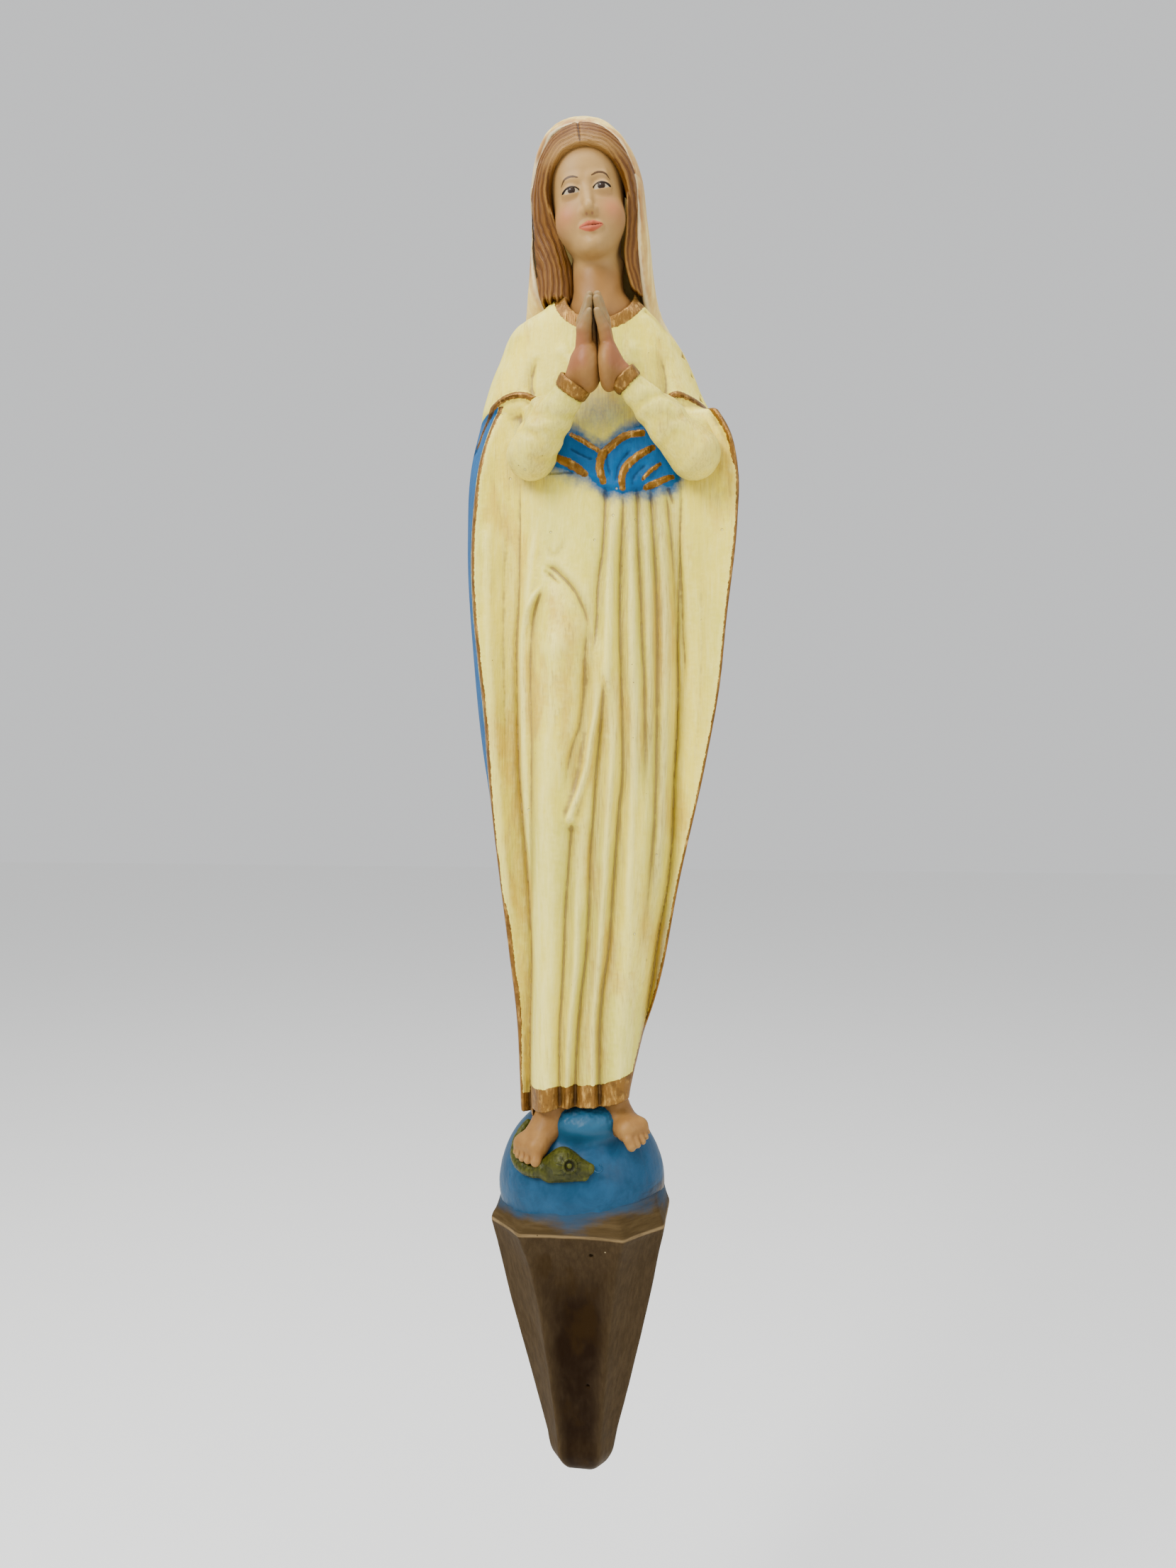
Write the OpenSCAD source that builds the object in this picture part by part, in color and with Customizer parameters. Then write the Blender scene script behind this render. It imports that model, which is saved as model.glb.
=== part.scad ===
// Wall-hung madonna statue: a painted plaster figure on a half globe, carried by a faceted console.
// Millimetres. X runs to the viewer's right, Y runs into the wall, Z is up.
// The wall is the plane Y = 0 and the console's rim is the plane Z = 0.

/* [Console] */
// Half width of the console at its rim
rim_half_w = 38; // [36:0.5:42]
// Depth of the console at its rim, out of the wall
rim_depth = 50; // [48:0.5:56]
// Height of the console from its tip to its rim
console_h = 119; // [100:1:130]
// Half width of the front facet at the rim
facet_half_w = 22; // [18:0.5:26]

/* [Globe] */
// Radius of the globe
globe_r = 37; // [35:0.5:38]
// Distance of the globe's centre out of the wall
globe_out = 11; // [8:0.5:14]

/* [Figure] */
// Height of the hem above the rim
hem_z = 50; // [49.5:0.5:52]
// Height of the waist seam under the sash
waist_z = 312; // [308:1:315]
// Height of the sash's upper edge
sash_top_z = 338; // [334:1:342]
// Height of the top of the veil
veil_top_z = 480; // [476:1:484]
// Thickness of the poured back
back_t = 10; // [8:0.5:12]

/* [Ironwork] */
// Radius of the armature rod
rod_r = 3; // [2:0.5:4]
// Radius of the wrist pins and of the hanging bar
pin_r = 1.6; // [1.2:0.1:2]
// Width of the hanging recess in the back
recess_w = 28; // [24:1:32]

/* [Hidden] */

plaster = [0.89, 0.86, 0.78];
cream = [0.88, 0.83, 0.62];
blue = [0.20, 0.44, 0.68];
bronze = [0.35, 0.25, 0.13];
flesh = [0.80, 0.60, 0.42];
brown = [0.50, 0.32, 0.14];
green = [0.30, 0.33, 0.08];
iron = [0.30, 0.29, 0.28];

gap = 0.1;                 // air left between pieces that are glued
arc_steps = 20;            // points along a front curve
rod_at = [4, -22];         // armature rod's axis, in plan
neck_at = [8, -33];        // neck dowel's axis, in plan
base_x = -1.2;             // middle of the console and the globe
globe_at = [base_x, -globe_out, 12];
globe_cut_z = 2;           // flat foot of the globe in the console
shoulder_z = 352;          // seam between the mantle's rim and the upper arms
collar_z = 394;            // top of the bodice, at the neck
front_plane = 46;          // distance out of the wall of the seam behind the forearms
bar_at = [10, -4.5, 330];  // middle of the hanging bar
bar_grip = 8;              // length of the bar that is cast in at each end
recess_drop = 24;          // how far the recess goes below the bar
recess_rise = 8;           // how far the recess goes above the bar

// Silhouette of the mantle, as [height, distance to the viewer's left or right].
outer_left = [[46, -29], [80, -30], [120, -34], [160, -39], [180, -42.3], [200, -46], [250, -51.3],
              [300, -53.7], [335, -51.8], [352, -46]];
outer_right = [[58, 24.5], [80, 31], [100, 36], [150, 44.8], [200, 55.6], [230, 61], [260, 63.9],
               [300, 68.2], [320, 68], [335, 65.2], [352, 57.5]];
// Seams between the gown and the mantle, on the same two sides.
seam_left = [[46, -22], [312, -24], [352, -24]];
seam_right = [[50, 21], [70, 26], [105, 30.5], [148, 37], [172, 41], [220, 45], [352, 44]];
// How far the gown and the mantle's edge stand out of the wall.
gown_out = [[50, 43], [120, 49], [200, 55], [250, 55], [290, 48], [312, 46], [352, 46]];
edge_out = [[46, 30], [120, 36], [200, 41], [300, 44], [340, 44], [352, 38]];

// Half of a superellipse that bulges towards the viewer from a flat back, as one level of a loft.
function d_ring(xl, xr, back, front, z, p = 2.4) =
    [for (i = [0 : arc_steps])
        let (a = 180 + 180 * i / arc_steps, c = cos(a), s = -sin(a))
        [(xl + xr) / 2 + (xr - xl) / 2 * sign(c) * pow(abs(c), 2 / p),
         -back - (front - back) * pow(abs(s), 2 / p), z]];

// Ellipse about a point in plan, as one level of a loft.
function ellipse_ring(at, a, b, z, n = 28) =
    [for (i = [0 : n - 1]) [at[0] + a * cos(360 * i / n), at[1] + b * sin(360 * i / n), z]];

// Superellipse between two sides, a back and a front, as one level of a loft.
function oval_ring(xl, xr, back, front, z, p = 2.6, n = 44) =
    [for (i = [0 : n - 1])
        let (c = cos(360 * i / n), s = sin(360 * i / n))
        [(xl + xr) / 2 + (xr - xl) / 2 * sign(c) * pow(abs(c), 2 / p),
         -(front + back) / 2 + (front - back) / 2 * sign(s) * pow(abs(s), 2 / p), z]];

// Solid through rings of equal length, each of them convex and counter-clockwise from the far end.
module loft(rings) {
    n = len(rings[0]);
    m = len(rings);
    sides = [for (j = [0 : m - 2], i = [0 : n - 1])
        let (a = j * n, b = a + n, k = (i + 1) % n)
        [a + i, b + i, b + k, a + k]];
    caps = [[for (i = [0 : n - 1]) i], [for (i = [n - 1 : -1 : 0]) (m - 1) * n + i]];
    polyhedron([for (r = rings) each r], concat(sides, caps), convexity = 6);
}

module rod_bore() {
    translate([rod_at[0], rod_at[1], -200]) cylinder(r = rod_r + gap, h = 800, $fn = 48);
}

module neck_bore() {
    translate([neck_at[0], neck_at[1], 360]) cylinder(r = pin_r + gap, h = 62, $fn = 32);
}

module globe_body() {
    intersection() {
        translate(globe_at) sphere(r = globe_r, $fn = 96);
        translate([-60, -80, globe_cut_z]) cube([120, 80, 80]);
    }
}

// Level of the console: half an octagon, from the wall round the front and back.
function console_ring(half_w, depth, facet, side, z) =
    [[-half_w, 0, z], [-half_w, -side, z], [-facet, -depth, z],
     [facet, -depth, z], [half_w, -side, z], [half_w, 0, z]];

module console() {
    side = rim_depth - 18;
    color(bronze) difference() {
        translate([base_x, 0, 0]) loft([
            console_ring(7, 12, 5, 8, -console_h),
            console_ring(12, 20, 7, 13, -console_h + 7),
            console_ring(rim_half_w - 4, rim_depth - 7, facet_half_w - 5, side - 3, -18),
            console_ring(rim_half_w, rim_depth, facet_half_w, side, 0),
            console_ring(rim_half_w - 3, rim_depth - 4, facet_half_w - 3, side - 4, 8)
        ]);
        globe_body();
        translate([rod_at[0], rod_at[1], -60]) cylinder(r = rod_r + gap, h = 100, $fn = 48);
    }
}

module globe() {
    color(blue) difference() {
        globe_body();
        rod_bore();
    }
}

// Point over the globe's surface, by compass angle from the viewer and by height angle.
function on_globe(turn, up, lift) =
    globe_at + (globe_r + lift) * [sin(turn) * cos(up), -cos(turn) * cos(up), sin(up)];

// Serpent's body: [turn, up, radius] along its length, from behind the foot to the snout.
serpent_line = [[-78, 53, 1.6], [-70, 45, 2.2], [-60, 36, 2.6], [-48, 28, 2.8], [-36, 23.5, 3],
                [-26, 22.5, 3.2], [-18, 23, 3.4], [-10, 26, 5.8], [-2, 26.5, 6], [6, 25.5, 4],
                [12, 24.5, 1.6]];

module serpent() {
    sides = 10;
    centre = [for (p = serpent_line) on_globe(p[0], p[1], p[2] + gap)];
    last = len(centre) - 1;
    rings = [for (i = [0 : last])
        let (ahead = centre[min(i + 1, last)] - centre[max(i - 1, 0)],
             along = ahead / norm(ahead),
             out = (centre[i] - globe_at) / norm(centre[i] - globe_at),
             across = cross(along, out),
             up = cross(across, along),
             r = serpent_line[i][2])
        [for (k = [0 : sides - 1])
            let (a = 360 * k / sides)
            centre[i] + r * (cos(a) * up + sin(a) * across)]];
    color(green) loft(rings);
}

// Foot on the globe, from heel to toes, stretched over spheres that are given as [x, y, z, radius].
module foot(balls) {
    color(flesh) difference() {
        hull() for (b = balls) translate([b[0], b[1], b[2]]) sphere(r = b[3], $fn = 24);
        translate(globe_at) sphere(r = globe_r + gap, $fn = 96);
        translate([-60, -80, hem_z - gap]) cube([120, 80, 40]);
    }
}

module foot_right() {
    foot([[-14, -33, 46, 6], [-20, -40, 36, 5], [-25, -40.5, 33.5, 2.5], [-15, -45, 33.5, 3.2]]);
}

module foot_left() {
    foot([[15, -33, 46, 6], [21, -37, 43, 4.6], [28, -37.5, 39.5, 2.5], [22, -42, 38.5, 2.8]]);
}

module gown_skirt() {
    color(cream) difference() {
        loft([for (z = [hem_z, 62, 80, 105, 130, 160, 190, 220, 250, 272, 292, waist_z])
            d_ring(lookup(z, seam_left), lookup(z, seam_right), back_t + gap, lookup(z, gown_out), z, 2.8)]);
        rod_bore();
    }
}

module sash() {
    color(blue) difference() {
        loft([for (z = [waist_z + gap, (waist_z + sash_top_z) / 2, sash_top_z - gap])
            d_ring(lookup(z, seam_left), lookup(z, seam_right), back_t + gap, front_plane - gap, z, 3.2)]);
        rod_bore();
    }
}

// Shoulders and upper arms as [height, left, right, front], over the top of the mantle's sides.
bodice_levels = [[352.2, -45.5, 57.5, 43], [362, -44, 52.5, 45], [371, -42, 49, 45],
                 [380, -37, 44.5, 44], [388, -26, 36, 42], [collar_z, -14, 29, 39]];

module gown_bodice() {
    color(cream) difference() {
        loft(concat(
            [for (z = [sash_top_z, 345, shoulder_z])
                d_ring(lookup(z, seam_left), lookup(z, seam_right), back_t + gap, front_plane - gap, z, 3)],
            [for (l = bodice_levels) d_ring(l[1], l[2], back_t + gap, l[3], l[0], 2.6)]));
        translate([rod_at[0], rod_at[1], 300]) cylinder(r = rod_r + gap, h = 70, $fn = 48);
        neck_bore();
    }
}

// Side of the mantle that is on the viewer's left: seam wall, flared outer wall, front edge and lining.
module mantle_right() {
    color(blue) loft([for (z = [46, 60, 80, 120, 160, 200, 250, 300, 320, 335, 345, shoulder_z])
        let (xs = lookup(z, seam_left) - gap, xo = lookup(z, outer_left), e = lookup(z, edge_out))
        [[xs, 0, z], [xo - 1, 0, z], [xo, -0.45 * e, z],
         [xo + 2.2, -0.85 * e, z], [xo + 5, -e, z], [xs, -e + 2, z]]]);
}

module mantle_left() {
    color(blue) loft([for (z = [58, 70, 80, 105, 150, 200, 230, 260, 300, 320, 335, 345, shoulder_z])
        let (xs = lookup(z, seam_right) + gap, xo = max(lookup(z, outer_right), xs + 1.2),
             e = lookup(z, edge_out), w = min(3, (xo - xs) / 3))
        [[xs, 0, z], [xs, -e + 2, z], [xo - w, -e, z],
         [xo - 0.3 * w, -0.9 * e, z], [xo, -0.5 * e, z], [xo, 0, z]]]);
}

// Round bar along X, centred on the hanging bar's place.
module crossbar(r, length) {
    translate(bar_at) rotate([0, 90, 0]) cylinder(r = r, h = length, center = true, $fn = 32);
}

// Plaster poured last, between the two sides of the mantle, with the recess that takes the wall hook.
module back_fill() {
    low = hem_z + 2;
    color(plaster) difference() {
        rotate([90, 0, 0]) linear_extrude(height = back_t) polygon(concat(
            [for (z = [low, 105, 148, 172, 220, shoulder_z]) [lookup(z, seam_right) - gap, z]],
            [for (z = [shoulder_z, low]) [lookup(z, seam_left) + gap, z]]));
        translate([bar_at[0] - recess_w / 2, -back_t - 1, bar_at[2] - recess_drop])
            cube([recess_w, back_t + 2, recess_drop + recess_rise]);
        crossbar(pin_r + gap / 2, recess_w + 2 * bar_grip + 1);
    }
}

module hanging_bar() {
    color(iron) crossbar(pin_r, recess_w + 2 * bar_grip);
}

// Ends of the forearms, and the point where the fingertips meet.
elbow_right = [-17.8, -54, 327.5];
wrist_right = [1.5, -62, 352];
elbow_left = [50.5, -54, 325.5];
wrist_left = [23.5, -62, 353];
fingertips = [11, -72, 385];
wrist_pin_r = 1.2;
cuff_end = 1.5;            // how far the sleeve goes past the wrist

module front_of_body() {
    translate([-100, -front_plane - gap, 200]) cube([200, 100, 300]);
}

module sleeve(elbow, wrist, r) {
    along = (wrist - elbow) / norm(wrist - elbow);
    color(cream) difference() {
        hull() {
            translate(elbow) sphere(r = r, $fn = 28);
            translate(wrist - 2 * along) sphere(r = 6.2, $fn = 28);
        }
        front_of_body();
        translate(wrist + cuff_end * along) half_space(along);
        wrist_bore(elbow, wrist);
    }
}

// Room beyond a plane that is square to a direction.
module half_space(along) {
    turn_to(along) translate([-20, -20, 0]) cube([40, 40, 40]);
}

// Turns +Z to a direction.
module turn_to(along) {
    rotate([0, acos(along[2]), atan2(along[1], along[0])]) children();
}

// Round bar along the forearm, half in the sleeve and half in the hand.
module wrist_bar(elbow, wrist, r, length) {
    along = (wrist - elbow) / norm(wrist - elbow);
    translate(wrist - along) turn_to(along)
        cylinder(r = r, h = length, center = true, $fn = 32);
}

module wrist_bore(elbow, wrist) {
    wrist_bar(elbow, wrist, wrist_pin_r + gap, 16);
}

module wrist_pin(elbow, wrist) {
    color(iron) wrist_bar(elbow, wrist, wrist_pin_r, 15);
}

// Hand from the wrist to the fingertips, on one side of the plane where the palms meet.
module hand(elbow, wrist, side) {
    along = (wrist - elbow) / norm(wrist - elbow);
    palm = [fingertips[0] + side * 4.2, -65, 362];
    color(flesh) difference() {
        hull() {
            translate(wrist + 3.5 * along) sphere(r = 4.2, $fn = 24);
            translate(palm) sphere(r = 5, $fn = 24);
            translate([fingertips[0] + side * 3, -68, 376]) sphere(r = 3, $fn = 24);
            translate([fingertips[0] + side * 1.8, fingertips[1], fingertips[2]]) sphere(r = 1.7, $fn = 24);
        }
        translate([fingertips[0] + (side > 0 ? -40 + gap / 2 : -gap / 2), -100, 300]) cube([40, 100, 120]);
        translate(wrist + (cuff_end + gap) * along) half_space(-along);
        front_of_body();
        wrist_bore(elbow, wrist);
    }
}

module sleeve_right() sleeve(elbow_right, wrist_right, 9.8);
module sleeve_left() sleeve(elbow_left, wrist_left, 10.6);
module hand_right() hand(elbow_right, wrist_right, -1);
module hand_left() hand(elbow_left, wrist_left, 1);
module wrist_pin_right() wrist_pin(elbow_right, wrist_right);
module wrist_pin_left() wrist_pin(elbow_left, wrist_left);

// Head as [height, centre x, centre y, half width, half depth] from the neck's foot to the crown.
head_levels = [[394.2, 8, -33, 11.5, 11], [400, 8, -33, 10.5, 10.5], [408, 8, -34, 10.5, 12],
               [411, 8.4, -38, 9, 14], [414, 8.2, -37, 11.5, 16], [421, 7.3, -37, 14, 17.5],
               [431, 6, -36, 15.6, 18.5], [442, 4.4, -35, 16, 18.5], [452, 3, -34, 14.6, 17],
               [460, 2.2, -33, 10.8, 13], [465, 1.8, -33, 5, 6]];

module head_solid(grow) {
    loft([for (l = head_levels) ellipse_ring([l[1], l[2]], l[3] + grow, l[4] + grow, l[0] + grow)]);
}

module head() {
    color(flesh) difference() {
        head_solid(0);
        neck_bore();
    }
}

// Veil's outside as [height, left, right, back, front], with both measured out of the wall.
veil_levels = [[352.2, -45.5, 57.5, 0, 12], [362, -42.5, 52, 0, 12], [371, -39.5, 49, 0, 12],
               [380, -35.5, 45.5, 0, 14], [388, -30.5, 40.5, 0, 22], [394, -28.5, 38, 0, 30],
               [404, -25.5, 35, 0, 38], [413, -23.2, 33.2, 0, 43], [423, -22, 32, 0, 46],
               [432, -22, 31, 0, 48], [445, -22, 29.6, 1, 50], [454, -21.6, 27.6, 3, 50],
               [463, -20, 24.3, 7, 48], [470, -17, 19.5, 12, 45], [476, -11, 12, 18, 41],
               [480, -4, 5, 25, 35]];
// Hollow under the veil, open to the front: [height, left, right, back].
hollow_levels = [[350, -70, 80, 10], [386, -70, 80, 10], [390, -29, 38, 9.8], [394, -24, 32, 9.5],
                 [404, -21.6, 29.6, 9], [423, -18.6, 26.6, 9], [445, -18.4, 24.4, 10], [454, -17.6, 23, 12],
                 [463, -14.5, 18.5, 16], [468, -8, 11, 24]];

// Hair between the head and the veil, down to the shoulders, with the same columns as the veil.
hair_levels = [[394.3, -22, 30, 10.5, 34], [404, -21, 29, 10, 40], [414, -19.6, 27.6, 9.8, 43],
               [423, -18, 26, 9.6, 45], [445, -17.8, 23.8, 10.8, 48], [454, -17, 22.4, 12.8, 48],
               [463, -13.8, 17.8, 17, 45], [467.4, -7.5, 10, 25, 41]];

function column(levels, k) = [for (l = levels) [l[0], l[k]]];

module veil() {
    color(cream) difference() {
        loft([for (l = veil_levels) oval_ring(l[1], l[2], l[3], l[4], l[0])]);
        loft([for (l = hollow_levels) oval_ring(l[1], l[2], l[3], 90, l[0], 4)]);
    }
}

module hair() {
    color(brown) difference() {
        loft([for (l = hair_levels) oval_ring(l[1], l[2], l[3], l[4], l[0], 3)]);
        head_solid(gap);
        neck_clearance();
    }
}

// Room for the foot of the neck, below the part that the head's own shape clears.
module neck_clearance() {
    translate([neck_at[0], neck_at[1], 390]) cylinder(r = 11.7, h = 6, $fn = 48);
}

module armature_rod() {
    color(iron) translate([rod_at[0], rod_at[1], -59]) cylinder(r = rod_r, h = 428, $fn = 48);
}

module neck_dowel() {
    color(iron) translate([neck_at[0], neck_at[1], 361]) cylinder(r = pin_r, h = 60, $fn = 32);
}

console();
globe();
serpent();
foot_right();
foot_left();
gown_skirt();
sash();
gown_bodice();
mantle_right();
mantle_left();
back_fill();
sleeve_right();
sleeve_left();
hand_right();
hand_left();
head();
hair();
veil();
armature_rod();
neck_dowel();
wrist_pin_right();
wrist_pin_left();
hanging_bar();
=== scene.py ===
"""Looks of the wall-hung madonna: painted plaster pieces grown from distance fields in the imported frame."""
import math

import bpy
import numpy as np
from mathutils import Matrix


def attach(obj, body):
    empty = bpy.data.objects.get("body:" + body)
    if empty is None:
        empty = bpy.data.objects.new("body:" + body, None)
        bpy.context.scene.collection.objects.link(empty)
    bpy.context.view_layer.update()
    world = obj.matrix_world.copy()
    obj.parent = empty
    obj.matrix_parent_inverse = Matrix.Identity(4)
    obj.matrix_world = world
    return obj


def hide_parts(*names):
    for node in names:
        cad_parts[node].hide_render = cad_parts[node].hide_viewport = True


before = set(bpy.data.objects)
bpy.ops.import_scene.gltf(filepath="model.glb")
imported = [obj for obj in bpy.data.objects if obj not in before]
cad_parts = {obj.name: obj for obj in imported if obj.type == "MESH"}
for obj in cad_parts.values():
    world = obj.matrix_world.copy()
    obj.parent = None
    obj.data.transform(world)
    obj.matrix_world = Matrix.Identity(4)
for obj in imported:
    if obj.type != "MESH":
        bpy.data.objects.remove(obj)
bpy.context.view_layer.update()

MM = 0.001
BODY = "root"

# ---------------------------------------------------------------- driving dimensions, in millimetres

BASE_X = -1.2                      # middle of the console and the globe
GLOBE_AT = (BASE_X - 0.8, -11.0, 12.0)
GLOBE_R = 37.2
HEAD_PIVOT = (8.2, -34.0, 411.0)   # under the chin
HEAD_LEAN = math.radians(7.5)      # crown towards the viewer's left
HEAD_TURN = math.radians(4.0)      # face towards the viewer's right
ELBOW = {-1: (-17.8, -52.0, 327.5), 1: (50.6, -52.0, 325.5)}
WRIST = {-1: (1.5, -62.0, 351.5), 1: (23.5, -62.0, 353.5)}


# ---------------------------------------------------------------- numbers and curves

def ease(low, high, x):
    """Smooth step from 0 at low to 1 at high."""
    t = np.clip((x - low) / (high - low), 0.0, 1.0)
    return t * t * (3.0 - 2.0 * t)


def track(points, z, column=1):
    """Smooth value along z through given rows (z, value, ...), which are sorted by z."""
    rows = np.array(points, float)
    zs, vs = rows[:, 0], rows[:, column]
    i = np.clip(np.searchsorted(zs, z) - 1, 0, len(zs) - 2)
    slope = np.gradient(vs, zs)
    h = zs[i + 1] - zs[i]
    t = np.clip((z - zs[i]) / h, 0.0, 1.0)
    a = (2 * t ** 3 - 3 * t ** 2 + 1) * vs[i] + (t ** 3 - 2 * t ** 2 + t) * h * slope[i]
    b = (-2 * t ** 3 + 3 * t ** 2) * vs[i + 1] + (t ** 3 - t ** 2) * h * slope[i + 1]
    return a + b


def curve(points, per_span=6):
    """Catmull-Rom curve through points of any dimension."""
    p = np.array(points, float)
    p = np.vstack([2 * p[0] - p[1], p, 2 * p[-1] - p[-2]])
    t = np.linspace(0.0, 1.0, per_span, endpoint=False)[:, None]
    spans = []
    for a, b, c, d in zip(p[:-3], p[1:-2], p[2:-1], p[3:]):
        spans.append(0.5 * (2 * b + (c - a) * t + (2 * a - 5 * b + 4 * c - d) * t ** 2
                            + (3 * b - a - 3 * c + d) * t ** 3))
    return np.vstack(spans + [p[-2][None]])


def along_path(p, points, per_span=6):
    """Distance from p, a tuple of coordinate arrays, to a curve, and how far along the nearest point is."""
    line = curve(points, per_span)
    lengths = np.linalg.norm(np.diff(line, axis=0), axis=1)
    start = np.concatenate([[0.0], np.cumsum(lengths)])
    best = np.full(p[0].shape, 1e9, np.float32)
    where = np.zeros(p[0].shape, np.float32)
    for a, b, length, s in zip(line[:-1], line[1:], lengths, start):
        d = b - a
        t = sum((q - o) * e for q, o, e in zip(p, a, d)) / (length * length)
        t = np.clip(t, 0.0, 1.0)
        dist = sum((q - (o + t * e)) ** 2 for q, o, e in zip(p, a, d))
        closer = dist < best
        best = np.where(closer, dist, best)
        where = np.where(closer, s + t * length, where)
    return np.sqrt(best), where / start[-1]


def waves(p, wavelength, seed, octaves=3):
    """Smooth, repeatable unevenness between about -1 and 1, with no lattice."""
    rng = np.random.default_rng(seed)
    total, size, weight = 0.0, wavelength, 1.0
    norm = 0.0
    for _ in range(octaves):
        for _ in range(4):
            way = rng.normal(size=3)
            way *= 2 * math.pi / size / np.linalg.norm(way)
            phase = rng.uniform(0, 2 * math.pi)
            bend = rng.uniform(0, 2 * math.pi)
            arg = sum(q * w for q, w in zip(p, way)) + phase
            total = total + weight * np.sin(arg + 1.3 * np.sin(arg * 0.37 + bend))
            norm += weight
        size, weight = size * 0.47, weight * 0.5
    return total / norm * 1.8


# ---------------------------------------------------------------- distance fields

def joined(a, b, r):
    """Smooth union."""
    h = np.clip(0.5 + 0.5 * (b - a) / r, 0.0, 1.0)
    return b + (a - b) * h - r * h * (1.0 - h)


def common(a, b, r):
    """Smooth intersection."""
    return -joined(-a, -b, r)


def carved(a, b, r):
    """a with b smoothly cut out of it."""
    return -joined(-a, b, r)


def egg(p, centre, radii):
    q = [(x - c) for x, c in zip(p, centre)]
    k0 = np.sqrt(sum((x / r) ** 2 for x, r in zip(q, radii)))
    k1 = np.sqrt(sum((x / (r * r)) ** 2 for x, r in zip(q, radii))) + 1e-9
    return k0 * (k0 - 1.0) / k1


def ball(p, centre, r):
    return np.sqrt(sum((x - c) ** 2 for x, c in zip(p, centre))) - r


def limb(p, a, b, ra, rb):
    d = [y - x for x, y in zip(a, b)]
    length = sum(x * x for x in d)
    t = np.clip(sum((x - o) * e for x, o, e in zip(p, a, d)) / length, 0.0, 1.0)
    dist = np.sqrt(sum((x - (o + t * e)) ** 2 for x, o, e in zip(p, a, d)))
    return dist - (ra + t * (rb - ra))


def surface_nets(values, low, step):
    """Vertices and quads where a grid of distances changes sign."""
    inside = values < 0
    n = np.array(values.shape) - 1
    corners = [(i, j, k) for i in (0, 1) for j in (0, 1) for k in (0, 1)]
    count = sum(inside[i:i + n[0], j:j + n[1], k:k + n[2]].astype(np.uint8) for i, j, k in corners)
    cells = np.argwhere((count > 0) & (count < 8))
    index = np.full(n, -1, np.int32)
    index[tuple(cells.T)] = np.arange(len(cells))
    total = np.zeros((len(cells), 3))
    hits = np.zeros(len(cells))
    for a in corners:
        for axis in range(3):
            if a[axis]:
                continue
            b = list(a)
            b[axis] = 1
            va = values[tuple((cells + a).T)]
            vb = values[tuple((cells + b).T)]
            cross = (va < 0) != (vb < 0)
            t = np.where(cross, va / np.where(cross, va - vb, 1.0), 0.0)
            total[cross] += np.array(a, float)
            total[cross, axis] += t[cross]
            hits += cross
    verts = np.array(low) + (cells + total / hits[:, None]) * step
    quads = []
    for axis in range(3):
        u, v = (axis + 1) % 3, (axis + 2) % 3
        here = [slice(1, -1)] * 3
        there = [slice(1, -1)] * 3
        here[axis], there[axis] = slice(0, -1), slice(1, None)
        edge = np.argwhere(inside[tuple(here)] != inside[tuple(there)])
        edge += [0 if k == axis else 1 for k in range(3)]
        ring = []
        for du, dv in ((1, 1), (0, 1), (0, 0), (1, 0)):
            cell = edge.copy()
            cell[:, u] -= du
            cell[:, v] -= dv
            ring.append(index[tuple(cell.T)])
        ring = np.stack(ring, 1)
        back = ~inside[tuple(edge.T)]
        ring[back] = ring[back][:, ::-1]
        quads.append(ring)
    return verts, np.vstack(quads)


def grown(distance, low, high, step, slack=1.7, block=8):
    """Closed mesh of a distance field, worked out only near its surface."""
    low = np.array(low, float)
    blocks = np.ceil((np.array(high) - low) / (step * block)).astype(int)
    values = np.empty(blocks * block, np.float32)
    centre = [low[k] + (np.arange(blocks[k]) + 0.5) * step * block for k in range(3)]
    at = np.meshgrid(*centre, indexing="ij")
    coarse = distance([a.astype(np.float32) for a in at])
    values[...] = np.repeat(np.repeat(np.repeat(coarse, block, 0), block, 1), block, 2)
    near = np.argwhere(np.abs(coarse) < slack * block * step * 0.87)
    local = np.stack(np.meshgrid(*[np.arange(block)] * 3, indexing="ij"), -1).reshape(-1, 3)
    for chunk in np.array_split(near, max(1, len(near) // 2000)):
        grid = (chunk[:, None, :] * block + local[None]).reshape(-1, 3)
        at = (low + grid * step).astype(np.float32)
        values[tuple(grid.T)] = distance([at[:, 0], at[:, 1], at[:, 2]])
    for axis in range(3):
        edge = [slice(None)] * 3
        for end in (0, -1):
            edge[axis] = end
            values[tuple(edge)] = np.abs(values[tuple(edge)]) + 1e-3
    return surface_nets(values, low, step)


def mesh_edges(quads):
    pairs = np.vstack([quads[:, [0, 1]], quads[:, [1, 2]], quads[:, [2, 3]], quads[:, [3, 0]]])
    return np.unique(np.sort(pairs, axis=1), axis=0)


def neighbour_mean(values, edges, count):
    total = np.zeros_like(values)
    a, b = edges.T
    for k in range(values.shape[1]):
        total[:, k] = np.bincount(a, values[b, k], count) + np.bincount(b, values[a, k], count)
    degree = np.bincount(a, minlength=count) + np.bincount(b, minlength=count)
    return total / degree[:, None]


def vertex_normals(verts, quads):
    d = np.cross(verts[quads[:, 2]] - verts[quads[:, 0]], verts[quads[:, 3]] - verts[quads[:, 1]])
    out = np.zeros_like(verts)
    for k in range(3):
        for corner in range(4):
            out[:, k] += np.bincount(quads[:, corner], d[:, k], len(verts))
    return out / (np.linalg.norm(out, axis=1, keepdims=True) + 1e-12)


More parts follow.
